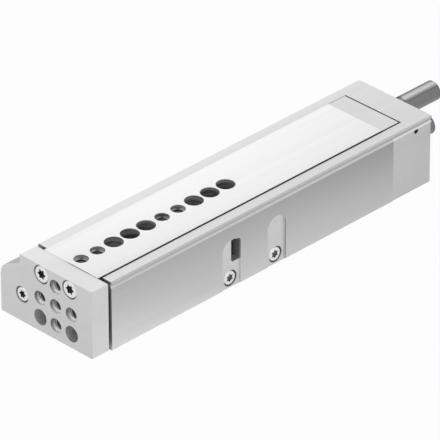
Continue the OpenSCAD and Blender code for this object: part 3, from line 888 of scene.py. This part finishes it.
@dataclass(frozen=True)
class Socketed(Metal):
    """Cap screws, one or a pair, with painted shade in their driver sockets.

    Attributes:
        middle: the middle of the heads' tops, between the two screws of a pair.
        facing: where the heads look.
        spread: half the distance between the two screws, or 0 for one screw.
        radius: radius of the driver socket.
        sunk: depths under the head's top between which the socket's shade lies.
        shadow: that painted shade.
    """

    middle: Point = (0.0, 0.0, 0.0)
    facing: Facing = Facing.FORWARDS
    spread: float = 0.0
    radius: float = 2.6 * MM
    sunk: Pair = (0.12 * MM, 3.1 * MM)
    shadow: float = -0.58

    @classmethod
    def of(cls, node: str, facing: Facing, head: float = 0.0, shadow: float = -0.58) -> "Socketed":
        """The finish of a node of cap screws, with the places of their sockets from its box.

        Args:
            node: the solid.
            facing: where the heads look.
            head: radius of the heads of a pair, or 0 for one screw.
            shadow: painted shade of the sockets.

        Returns:
            A nickel finish with painted shade in the sockets.
        """
        low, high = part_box(node)
        axis, sign, pair = facing.value
        middle = [0.5 * (low[i] + high[i]) for i in range(3)]
        middle[axis] = high[axis] if sign > 0 else low[axis]
        return cls(
            name=f"nickel_{node}",
            colour=grey(0.78),
            roughness=0.28,
            pitch=0.2 * MM,
            middle=tuple(middle),
            facing=facing,
            spread=0.5 * (high[pair] - low[pair]) - head if head else 0.0,
            shadow=shadow,
        )

    def shade(self, shader: Shader, place: Wire) -> Optional[Wire]:
        """Paints shade on what lies near a screw's axis and a little under its head's top.

        Args:
            shader: the material in the making.
            place: position in the table's frame.

        Returns:
            1 plus the shade.
        """
        parts = shader.parts(place)
        axis, sign, pair = self.facing.value
        third = 3 - axis - pair
        depth = (self.middle[axis] - parts[axis]) * sign
        off = abs(parts[pair] - self.middle[pair]) - self.spread
        radius = shader.length(off, parts[third] - self.middle[third])
        inside = 1.0 - radius.past(self.radius)
        return inside * depth.within(*self.sunk) * self.shadow + 1.0


@dataclass(frozen=True)
class Moulded:
    """A moulded plastic, rubber or sintered surface.

    Attributes:
        name: the material's name.
        colour: its base colour.
        roughness: how dull it is.
        pitch: the size of its surface grain.
        depth: the height of that grain.
        metallic: above 0 for a sintered metal.
        speckle: how strongly the grain shows in the colour.
        gloss: how much the roughness changes over the grain.
        edge: the radius of its edges.
    """

    name: str
    colour: Colour
    roughness: float = 0.5
    pitch: float = 0.15 * MM
    depth: float = 0.004 * MM
    metallic: float = 0.0
    speckle: float = 0.06
    gloss: float = 0.12
    edge: float = 0.08 * MM

    def material(self) -> bpy.types.Material:
        """Builds the material: an even grain as relief and as a slight speckle.

        The speckle is half fine grain and half broad cloud, 120 lumps to the metre.

        Returns:
            The material.
        """
        shader = Shader(self.name)
        place = shader.place()
        step = 1.0 / self.pitch
        fine = shader.noise(place, (step, step, step), 4.0, 0.6)
        broad = shader.noise(place, (120.0, 120.0, 120.0))
        mix = (fine * 0.5 + broad * 0.5).ramp(*BLURRED)
        dark, light = (scaled(self.colour, 1.0 + by) for by in (-self.speckle, self.speckle))
        return shader.principled(
            Base_Color=shader.tint(mix, dark, light),
            Metallic=self.metallic,
            Roughness=(mix - 0.5) * self.gloss + self.roughness,
            Normal=shader.relief(fine, self.depth, shader.soft_normal(self.edge)),
        )


Finish = Union[Metal, Moulded]


class Finishes:
    """Every finish of the table, each made once and kept."""

    def __init__(self) -> None:
        """Starts with no material made."""
        self.made: Dict[str, bpy.types.Material] = {}

    def get(self, finish: Finish) -> bpy.types.Material:
        """Gives a finish's material.

        Args:
            finish: the finish.

        Returns:
            Its material, made on first use.
        """
        if finish.name not in self.made:
            self.made[finish.name] = finish.material()
        return self.made[finish.name]

    def dress(self, piece: bpy.types.Object, finish: Finish) -> None:
        """Puts a finish on every material slot of a piece.

        Args:
            piece: a solid of the frame, or a new piece.
            finish: the finish that it gets.
        """
        material = self.get(finish)
        if not piece.material_slots:
            piece.data.materials.append(material)
        for slot in piece.material_slots:
            slot.material = material
        log.info("%s wears %s", piece.name, finish.name)


# Its Extruded shade paints light and shade over the housing's faces.
ANODISED_BODY = Extruded(
    name="anodised_body",
    colour=grey(0.69),
    metallic=0.6,
    roughness=0.42,
    grain=Grain.DRAWN,
    pitch=0.25 * MM,
    depth=0.003 * MM,
    edge=0.2 * MM,
)
# Its Bored shade paints light and shade over the plate and into its holes.
ANODISED_PLATE = Bored(
    name="anodised_plate",
    colour=grey(0.75),
    metallic=0.55,
    roughness=0.42,
    depth=0.003 * MM,
    edge=0.2 * MM,
)
# Its Sided shade paints the shadow of the gaps on its stop side and its edges.
ANODISED_BLOCK = Sided(
    name="anodised_block", colour=grey(0.74), metallic=0.55, roughness=0.42, depth=0.003 * MM
)
# Its Ground shade paints light on the top and shade on the sides and in the holes.
GROUND_SLIDE = Ground(
    name="ground_slide",
    colour=grey(0.88),
    metallic=0.6,
    roughness=0.36,
    grain=Grain.DRAWN,
    pitch=0.1 * MM,
    depth=0.0015 * MM,
)
# Dark colour: painted shade for the inside of the slide's threaded holes.
SHADED_TAPPED_STEEL = Metal(
    name="tapped_steel_painted_shade", colour=grey(0.1), metallic=0.9, roughness=0.4, pitch=0.1 * MM
)
# Dark colour: painted shade for the inside of the threaded air ports.
SHADED_TAPPED_ALUMINIUM = Metal(
    name="tapped_aluminium_painted_shade", colour=grey(0.14), metallic=0.8, roughness=0.4, pitch=0.1 * MM
)
# Dark colour: painted shade for the inside of the plate's threaded holes, with painted light at
# their mouths.
SHADED_TAPPED_PLATE = Tapped(
    name="tapped_plate_painted_light_and_shade", colour=grey(0.08), metallic=0.8, roughness=0.4, pitch=0.1 * MM
)
GROUND_RAIL = Metal(
    name="ground_rail",
    colour=(0.52, 0.52, 0.53),
    roughness=0.3,
    grain=Grain.DRAWN,
    pitch=0.08 * MM,
    depth=0.001 * MM,
)
NICKEL_NUT = Metal(name="nickel_nut", colour=grey(0.62), roughness=0.33, pitch=0.2 * MM)
# Its Coated shade paints a highlight stripe along the top and shade on the flanks.
NITRIDED_SHOCK = Coated(
    name="nitrided_shock",
    colour=grey(0.2),
    metallic=0.85,
    roughness=0.22,
    grain=Grain.TURNED,
    depth=0.001 * MM,
    edge=0.12 * MM,
    edge_glow=1.5,
)
HARD_CHROME = Metal(
    name="hard_chrome",
    colour=(0.72, 0.72, 0.73),
    roughness=0.12,
    grain=Grain.TURNED,
    pitch=0.1 * MM,
    depth=0.0004 * MM,
)
BEARING_STEEL = Metal(
    name="bearing_steel",
    colour=(0.75, 0.75, 0.76),
    roughness=0.08,
    pitch=0.3 * MM,
    depth=0.0002 * MM,
)
TURNED_CAP = Metal(
    name="turned_cap", colour=(0.7, 0.7, 0.71), roughness=0.32, grain=Grain.TURNED
)
MILLED_STOP = Metal(
    name="milled_stop",
    colour=(0.5, 0.5, 0.51),
    roughness=0.36,
    grain=Grain.MILLED,
    pitch=0.3 * MM,
)
PHOSPHATED_CLIP = Metal(
    name="phosphated_clip",
    colour=(0.16, 0.16, 0.17),
    metallic=0.7,
    roughness=0.45,
    pitch=0.1 * MM,
)
SINTERED_BUSH = Moulded(
    name="sintered_bush",
    colour=(0.5, 0.33, 0.16),
    roughness=0.42,
    pitch=0.12 * MM,
    depth=0.006 * MM,
    metallic=0.9,
    speckle=0.12,
)
SEAL_RUBBER = Moulded(
    name="seal_rubber",
    colour=(0.025, 0.025, 0.026),
    roughness=0.4,
    pitch=0.2 * MM,
    depth=0.003 * MM,
)
CAGE_PLASTIC = Moulded(name="cage_plastic", colour=(0.09, 0.09, 0.095), roughness=0.45)
GUIDE_PLASTIC = Moulded(name="guide_plastic", colour=(0.82, 0.8, 0.74), roughness=0.4)
MAGNET_PLASTIC = Moulded(
    name="magnet_plastic",
    colour=(0.06, 0.06, 0.065),
    pitch=0.1 * MM,
    depth=0.006 * MM,
    speckle=0.2,
)


# --- Surfaces ----------------------------------------------------------------------------------


class Surface:
    """A mesh in the making: points on grids, joined by quads, with its poles closed."""

    def __init__(self, name: str) -> None:
        """Starts an empty surface.

        Args:
            name: the new piece's name.
        """
        self.name = name
        self.points: List[np.ndarray] = []
        self.faces: List[np.ndarray] = []
        self.count = 0

    def tube(self, rings: np.ndarray) -> None:
        """Adds rings of points as a closed skin.

        Point (i, j) is joined to its neighbours (i + 1, j) and (i, j + 1), the last j to the
        first, and a fan to the mean of the first and of the last ring closes each end.

        Args:
            rings: an array (rings, points round, 3) that runs so that faces point outwards.
        """
        m, n, _ = rings.shape
        start = self.count
        i, j = np.meshgrid(np.arange(m - 1), np.arange(n), indexing="ij")
        a = start + i * n + j
        b = start + i * n + (j + 1) % n
        quads = np.stack([a, b, b + n, a + n], axis=-1).reshape(-1, 4)
        k = np.arange(n)
        first, last = start + m * n, start + m * n + 1
        low = np.stack([np.full(n, first), start + (k + 1) % n, start + k], axis=-1)
        top = start + (m - 1) * n
        high = np.stack([np.full(n, last), top + k, top + (k + 1) % n], axis=-1)
        self.faces += [quads, low, high]
        self.points += [rings.reshape(-1, 3), rings[0].mean(0)[None], rings[-1].mean(0)[None]]
        self.count += m * n + 2

    def piece(self, sharp: float = 0.6) -> bpy.types.Object:
        """Makes the object.

        Args:
            sharp: the angle, in radians, past which an edge stays sharp.

        Returns:
            An object at the origin with its place in its mesh.
        """
        mesh = bpy.data.meshes.new(self.name)
        faces = [face for block in self.faces for face in block.tolist()]
        mesh.from_pydata(np.concatenate(self.points).tolist(), [], faces)
        mesh.update()
        mesh.shade_smooth()
        mesh.set_sharp_from_angle(angle=sharp)
        made = bpy.data.objects.new(self.name, mesh)
        bpy.context.scene.collection.objects.link(made)
        return made


def axes_of(direction: Point) -> np.ndarray:
    """Sets up axes along a direction.

    Args:
        direction: a unit vector.

    Returns:
        Three unit rows: two across the direction, and then the direction itself.
    """
    along = np.array(direction, float)
    side = np.array((0.0, 0.0, 1.0)) if abs(along[2]) < 0.5 else np.array((1.0, 0.0, 0.0))
    across = np.cross(along, side)
    return np.stack([across, np.cross(along, across), along])


@dataclass(frozen=True)
class ThreadedHole:
    """The thread of a hole that the solids leave plain at the thread's major diameter.

    Attributes:
        mouth: where the thread starts, on the hole's axis.
        inward: unit vector from the mouth into the metal.
        length: how long the thread is.
        major: radius of the hole.
        pitch: advance of the thread in one turn.
        depth: how far its crest stands into the hole.
        overlap: how far its root stands into the metal.
        foot: half the width of the ridge's foot, as a share of the pitch.
        clear: how much of the length is kept clear at each end, as a share of the pitch.
        least: height of the crest at both ends, as a share of its full height.
    """

    mouth: Point
    inward: Point
    length: float
    major: float = 2.5 * MM
    pitch: float = 0.8 * MM
    depth: float = 0.42 * MM
    overlap: float = 0.03 * MM
    foot: float = 0.44
    clear: float = 0.45
    least: float = 0.02

    def rings(self, steps: int = 28) -> np.ndarray:
        """Rings of a ridge with a three-cornered section.

        The section's corners are carried along a helix: a corner of radius r and offset s lies at
        (r cos t, r sin t) across the axis and at pitch * (t / (2 pi) + clear + s) along it. The
        crest grows to its full height over the first half turn and shrinks over the last.

        Args:
            steps: how many rings there are in one turn.

        Returns:
            An array (rings, corners, 3).
        """
        turns = self.length / self.pitch - 2.0 * self.clear
        t = np.linspace(0.0, 2.0 * np.pi * turns, int(turns * steps) + 1)
        grow = np.clip(np.minimum(t, t[-1] - t) / np.pi, self.least, 1.0)
        root = np.full_like(t, self.major + self.overlap)
        radius = np.stack([root, root - (self.depth + self.overlap) * grow, root])
        offset = np.array([-self.foot, 0.0, self.foot])[:, None]
        along = self.pitch * (t / (2.0 * np.pi) + self.clear + offset)
        local = np.stack([radius * np.cos(t), radius * np.sin(t), along], axis=-1)
        world = local @ axes_of(self.inward) + np.array(self.mouth)
        return np.swapaxes(world, 0, 1)


def threads(name: str, mouths: Sequence[Point], inward: Point, length: float) -> bpy.types.Object:
    """Makes one piece of the threads of several like holes.

    Args:
        name: the new piece's name.
        mouths: where each thread starts, on its hole's axis.
        inward: unit vector from there into the metal.
        length: how long each thread is.

    Returns:
        The piece.
    """
    surface = Surface(name)
    for mouth in mouths:
        surface.tube(ThreadedHole(mouth, inward, length).rings())
    return surface.piece()


@dataclass(frozen=True)
class ShockBody:
    """The body of a shock absorber: a smooth end with a key socket, then a fine thread.

    Attributes:
        name: the new piece's name.
        node: the solid that it stands for.
        smooth: length of the smooth end.
        pitch: advance of the thread in one turn.
        depth: depth of the thread.
        cut: how much the thread's section is stretched and lowered before it is cut off, which
            leaves it flat crests and roots.
        run_in: how many turns it takes to reach its depth.
        soft: width of the chamfers at both ends.
        rim: width and depth of the broken edge between the smooth end's face and its chamfer.
        key: half the width across the corners of the key socket.
        key_depth: depth of the key socket.
        collar: width of the plain ring round the key socket.
        mark: start of the turned groove near the smooth end, its width and its depth.
        flank: length of that groove's flanks.
        stem: radius of the hole for the plunger.
        stem_depth: depth of that hole.
    """

    name: str
    node: str
    smooth: float = 21.5 * MM
    pitch: float = 1.0 * MM
    depth: float = 0.5 * MM
    cut: Pair = (1.25, 0.12)
    run_in: float = 1.5
    soft: float = 0.7 * MM
    rim: Pair = (0.25 * MM, 0.06 * MM)
    key: float = 2.3 * MM
    key_depth: float = 3.0 * MM
    collar: float = 0.35 * MM
    mark: Triple = (1.3 * MM, 0.4 * MM, 0.12 * MM)
    flank: float = 0.03 * MM
    stem: float = 1.55 * MM
    stem_depth: float = 20.0 * MM

    def thread(self, radius: float, s: np.ndarray, t: np.ndarray) -> np.ndarray:
        """Radii of the threaded part.

        At place s and angle t the radius is R, less the thread's depth times a triangle wave of
        (s / pitch - t / 2 pi), which is cut off at 0 and 1 and fades in past the smooth end.

        Args:
            radius: the thread's major radius, R.
            s: places along the axis, as a column.
            t: angles round it.

        Returns:
            An array (places, angles).
        """
        wave = np.abs(((s / self.pitch - t / (2 * np.pi)) % 1.0) * 2.0 - 1.0)
        wave = np.clip(wave * self.cut[0] - self.cut[1], 0.0, 1.0)
        fade = np.clip((s - self.smooth) / (self.run_in * self.pitch), 0.0, 1.0)
        return radius - self.depth * wave * fade

    def build(self, around: int = 56, per_turn: int = 10) -> bpy.types.Object:
        """Lofts the body from its rings.

        On each ring a point lies at (s, y + r cos t, z + r sin t), round the solid's middle (y, z).
        The key socket's rings are a hexagon: its half width over the cosine of the angle from the
        nearest flat's middle.

        Args:
            around: how many points there are on a ring.
            per_turn: how many rings there are in one turn of the thread.

        Returns:
            The piece.
        """
        low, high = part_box(self.node)
        y, z = 0.5 * (low.y + high.y), 0.5 * (low.z + high.z)
        radius, length = 0.5 * (high.z - low.z), high.x - low.x
        t = np.linspace(0.0, 2.0 * np.pi, around, endpoint=False)
        hexagon = self.key * np.cos(np.pi / 6) / np.cos((t % (np.pi / 3)) - np.pi / 6)
        plain = np.ones_like(t)
        edge = radius - self.soft
        step = self.pitch / per_turn
        s = np.arange(self.smooth, length - self.soft, step)[:, None]
        threaded = self.thread(radius, s, t)
        rim_width, rim_depth = self.rim
        groove, width, sunk = self.mark
        parts = [
            (self.key_depth, hexagon),
            (0.0, hexagon),
            (0.0, (self.key + self.collar) * plain),
            (0.0, (edge - rim_width) * plain),
            (rim_depth, edge * plain),
            (self.soft, radius * plain),
            (groove, radius * plain),
            (groove + self.flank, (radius - sunk) * plain),
            (groove + width - self.flank, (radius - sunk) * plain),
            (groove + width, radius * plain),
            (self.smooth - step, radius * plain),
            *zip(s[:, 0], threaded),
            (length, np.minimum(threaded[-1], edge)),
            (length, self.stem * plain),
            (length - self.stem_depth, self.stem * plain),
        ]
        rings = [
            np.stack([np.full_like(t, low.x + at), y + r * np.cos(t), z + r * np.sin(t)], -1)
            for at, r in parts
        ]
        surface = Surface(self.name)
        surface.tube(np.stack(rings))
        return surface.piece()


# --- Sub-assemblies ----------------------------------------------------------------------------


@dataclass
class Assembly:
    """A group of solids that move as one body, and the finish of each.

    Attributes:
        body: the body that new pieces ride on.
        looks: the finish of each solid.
    """

    body: str
    looks: Dict[str, Finish] = field(default_factory=dict)

    def build(self, finishes: Finishes) -> None:
        """Dresses the solids, then adds the new pieces.

        Args:
            finishes: the finishes that are made so far.
        """
        for node, finish in self.looks.items():
            finishes.dress(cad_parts[node], finish)
        self.add_pieces(finishes)

    def add_pieces(self, finishes: Finishes) -> None:
        """Adds the group's new pieces; a plain group has none."""

    def settle(
        self, piece: bpy.types.Object, finishes: Finishes, finish: Finish, slot: str
    ) -> None:
        """Dresses a new piece and lets it ride on the group's body.

        Args:
            piece: the new piece.
            finishes: the finishes that are made so far.
            finish: the one that it gets.
            slot: the name of a material slot; not used.
        """
        finishes.dress(piece, finish)
        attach(piece, self.body)
        log.info("%s added to %s", piece.name, self.body)


@dataclass
class Housing(Assembly):
    """The housing with its ports, rails, cylinder cap, stop bar and retract shock absorber.

    Attributes:
        body: the body that new pieces ride on.
        port_gap: how far each air port lies from the piston or the cap that closes its end.
        port_depth: length of their threads.
        port_start: how deep in the ports the threads start.
        stop_head: radius of the heads of the stop bar's screws.
    """

    body: str = "housing"
    port_gap: float = 2.7 * MM
    port_depth: float = 5.0 * MM
    port_start: float = 0.3 * MM
    stop_head: float = 3.5 * MM

    def __post_init__(self) -> None:
        """Picks the finish of each solid."""
        self.looks = {
            "housing": ANODISED_BODY,
            "guide_rail_left": GROUND_RAIL,
            "guide_rail_right": GROUND_RAIL,
            "bearing_cap": TURNED_CAP,
            "rod_bush": SINTERED_BUSH,
            "rod_seal": SEAL_RUBBER,
            "cap_o_ring": SEAL_RUBBER,
            "circlip": PHOSPHATED_CLIP,
            "stop_bar": MILLED_STOP,
            "stop_bar_screws": Socketed.of(
                "stop_bar_screws", Facing.STOP_SIDE, self.stop_head, shadow=-0.35
            ),
            "retract_shock_nut": NICKEL_NUT,
        }

    def add_pieces(self, finishes: Finishes) -> None:
        """Adds the port threads and the retract shock absorber's body.

        Args:
            finishes: the finishes that are made so far.
        """
        low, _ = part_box("housing")
        boxes = [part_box(node) for node in ("piston", "bearing_cap")]
        mouths = [
            (near.x - self.port_gap, low.y + self.port_start, 0.5 * (near.z + far.z))
            for near, far in boxes
        ]
        piece = threads("port_threads", mouths, (0.0, 1.0, 0.0), self.port_depth)
        self.settle(piece, finishes, SHADED_TAPPED_ALUMINIUM, "housing_anodised")

        shock = ShockBody("retract_shock_thread", "retract_shock_body").build()
        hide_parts("retract_shock_body")
        self.settle(shock, finishes, NITRIDED_SHOCK, "shock_coating")


@dataclass
class Slide(Assembly):
    """The slide with its yoke plate, rod, piston, stop block and extend shock absorber.

    Attributes:
        body: the body that new pieces ride on.
        first: how far the first top hole lies from the slide's front end.
        grid: distance between neighbouring holes of the top and of the yoke plate's cross.
        threaded: which of the top holes, counted from the front, are threaded.
        cross: the holes of the plate's cross, in steps of the grid from its middle, on Y and Z.
        recess: depth of a centring recess.
        yoke_head: radius of the heads of the screws between plate and slide.
        block_head: radius of the heads of the stop block's screws.
    """

    body: str = "slide"
    first: float = 6.0 * MM
    grid: float = 10.0 * MM
    threaded: Tuple[int, ...] = (0, 1, 5, 6)
    cross: Tuple[Tuple[int, int], ...] = ((0, 0), (-1, 0), (1, 0), (0, -1), (0, 1))
    recess: float = 1.8 * MM
    yoke_head: float = 4.25 * MM
    block_head: float = 3.5 * MM

    def __post_init__(self) -> None:
        """Picks the finish of each solid."""
        self.looks = {
            "slide": GROUND_SLIDE,
            "yoke_plate": ANODISED_PLATE,
            "yoke_slide_screws": Socketed.of(
                "yoke_slide_screws", Facing.FORWARDS, self.yoke_head
            ),
            "yoke_rod_screw": Socketed.of("yoke_rod_screw", Facing.FORWARDS),
            "piston_rod": HARD_CHROME,
            "piston": TURNED_CAP,
            "piston_seal": SEAL_RUBBER,
            "magnet_ring": MAGNET_PLASTIC,
            "guide_ring": GUIDE_PLASTIC,
            "piston_nut": NICKEL_NUT,
            "stop_block": ANODISED_BLOCK,
            "stop_block_screws": Socketed.of(
                "stop_block_screws", Facing.BACKWARDS, self.block_head
            ),
            "extend_shock_nut": NICKEL_NUT,
        }

    def add_pieces(self, finishes: Finishes) -> None:
        """Adds the threads of the slide and of the yoke plate, and the shock absorber's body.

        Args:
            finishes: the finishes that are made so far.
        """
        low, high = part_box("slide")
        mouths = [
            (high.x - self.first - i * self.grid, 0.0, high.z - self.recess) for i in self.threaded
        ]
        depth = high.z - low.z - self.recess
        piece = threads("slide_threads", mouths, (0.0, 0.0, -1.0), depth)
        self.settle(piece, finishes, SHADED_TAPPED_STEEL, "slide_steel")

        low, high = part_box("yoke_plate")
        middle = 0.5 * (low.z + high.z)
        mouths = [
            (high.x - self.recess, y * self.grid, middle + z * self.grid) for y, z in self.cross
        ]
        depth = high.x - low.x - self.recess
        piece = threads("yoke_threads", mouths, (-1.0, 0.0, 0.0), depth)
        self.settle(piece, finishes, SHADED_TAPPED_PLATE, "plate_anodised")

        shock = ShockBody("extend_shock_thread", "extend_shock_body").build()
        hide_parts("extend_shock_body")
        self.settle(shock, finishes, NITRIDED_SHOCK, "shock_coating")


def small_bodies() -> List[Assembly]:
    """Lists the bodies that need finishes only.

    Returns:
        The two ball cages and the two plungers.
    """
    return [
        Assembly("cage_left", {"cage_left": CAGE_PLASTIC, "balls_left": BEARING_STEEL}),
        Assembly("cage_right", {"cage_right": CAGE_PLASTIC, "balls_right": BEARING_STEEL}),
        Assembly("retract_plunger", {"retract_shock_plunger": HARD_CHROME}),
        Assembly("extend_plunger", {"extend_shock_plunger": HARD_CHROME}),
    ]


# --- Studio ------------------------------------------------------------------------------------


def pose(place: Point, back: np.ndarray, side: np.ndarray) -> Matrix:
    """Works out how a lamp or camera stands: its columns are side, back x side, and back.

    Args:
        place: where it stands.
        back: the way that its rear points.
        side: the way that its right points, roughly: what lies along back is taken off.

    Returns:
        The matrix that puts it there.
    """
    back = back / np.linalg.norm(back)
    side = side - back * side.dot(back)
    side = side / np.linalg.norm(side)
    rows = np.stack([side, np.cross(back, side), back]).T
    return Matrix.Translation(place) @ Matrix(rows.tolist()).to_4x4()


@dataclass(frozen=True)
class SoftBox:
    """A square lamp that shines on the table.

    Attributes:
        name: its name.
        place: where its middle is.
        size: the length of its sides.
        power: its power in watts.
    """

    name: str
    place: Point
    size: float
    power: float

    def build(self, target: Point) -> None:
        """Adds the lamp, level and turned towards the target.

        Args:
            target: the point that it shines on.
        """
        lamp = bpy.data.lights.new(self.name, "AREA")
        lamp.shape = "SQUARE"
        lamp.size = self.size
        lamp.energy = self.power
        holder = bpy.data.objects.new(self.name, lamp)
        back = np.array(self.place) - np.array(target)
        holder.matrix_world = pose(self.place, back, np.cross((0.0, 0.0, 1.0), back))
        bpy.context.scene.collection.objects.link(holder)


@dataclass
class Studio:
    """A plain pale floor, soft lamps and the camera.

    Attributes:
        lamps: the soft boxes.
        target: the point that they shine on.
        eye: where the camera stands.
        forward: the way it looks.
        right: the way its picture's right side points.
        lens: its focal length in millimetres.
        sensor: the width of its sensor in millimetres.
        far: how far it sees.
        sky: brightness of the surroundings for light that isn't seen directly.
        floor: colour of the floor.
        floor_reach: half the floor's length and width.
        floor_drop: how far the floor lies under the table's base.
        veil: how much of the floor's own shading gives way to plain white where it is seen.
    """

    lamps: Tuple[SoftBox, ...] = (
        SoftBox("key", (0.75, -0.15, 1.35), 0.9, 4.5),
        SoftBox("side", (0.25, 1.2, 0.75), 0.8, 1.2),
        SoftBox("top", (-0.35, -0.35, 1.5), 1.2, 5.0),
    )
    target: Point = (0.0, 0.0, 0.02)
    eye: Point = (1.63942, 1.63566, 1.42207)
    forward: Point = (-0.602637, -0.605622, -0.519663)
    right: Point = (-0.70769, 0.70652, -0.00264)
    lens: float = 489.97
    sensor: float = 36.0
    far: float = 50.0
    sky: float = 0.3
    floor: float = 0.9
    floor_reach: float = 6.0
    floor_drop: float = 0.05 * MM
    veil: float = 0.96

    def build(self) -> None:
        """Sets up the camera, the floor, the surroundings and the lamps."""
        self.add_camera()
        self.add_floor()
        self.add_sky()
        for lamp in self.lamps:
            lamp.build(self.target)
        bpy.context.scene.view_settings.view_transform = "Standard"
        log.info("studio ready with %d lamps", len(self.lamps))

    def add_camera(self) -> None:
        """Adds the camera."""
        view = bpy.data.cameras.new("camera")
        view.lens = self.lens
        view.sensor_width = self.sensor
        view.clip_end = self.far
        holder = bpy.data.objects.new("camera", view)
        holder.matrix_world = pose(self.eye, -np.array(self.forward), np.array(self.right))
        bpy.context.scene.collection.objects.link(holder)
        bpy.context.scene.camera = holder

    def add_floor(self) -> None:
        """Adds the floor, whose seen rays are mixed with plain white."""
        size, height = self.floor_reach, -self.floor_drop
        square = [(-size, -size), (size, -size), (size, size), (-size, size)]
        mesh = bpy.data.meshes.new("floor")
        mesh.from_pydata([(x, y, height) for x, y in square], [], [(0, 1, 2, 3)])
        plane = bpy.data.objects.new("floor", mesh)
        bpy.context.scene.collection.objects.link(plane)
        material = bpy.data.materials.new("floor")
        material.use_nodes = True
        nodes = Nodes(material.node_tree)
        nodes.tree.nodes.clear()
        matt = nodes.node("ShaderNodeBsdfDiffuse", None, {"Color": grey(self.floor)})
        white = nodes.node("ShaderNodeEmission")
        veil = nodes.seen() * self.veil
        mix = nodes.node("ShaderNodeMixShader", None, {0: veil, 1: matt, 2: white})
        nodes.add("ShaderNodeOutputMaterial", None, {"Surface": mix})
        mesh.materials.append(material)

    def add_sky(self) -> None:
        """Adds the surroundings: white where seen, and dimmer as a light."""
        world = bpy.data.worlds.new("surroundings")
        world.use_nodes = True
        nodes = Nodes(world.node_tree)
        nodes.tree.nodes.clear()
        dim, white = (
            nodes.node("ShaderNodeBackground", None, {"Color": grey(1.0), "Strength": strength})
            for strength in (self.sky, 1.0)
        )
        mix = nodes.node("ShaderNodeMixShader", None, {0: nodes.seen(), 1: dim, 2: white})
        nodes.add("ShaderNodeOutputWorld", None, {"Surface": mix})
        bpy.context.scene.world = world


# --- Main --------------------------------------------------------------------------------------


def main() -> None:
    """Builds the studio and dresses every sub-assembly."""
    logging.basicConfig(level=logging.INFO, format="%(name)s: %(message)s")
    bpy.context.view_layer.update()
    Studio().build()
    finishes = Finishes()
    for assembly in (Housing(), Slide(), *small_bodies()):
        assembly.build(finishes)


if __name__ == "__main__":
    main()
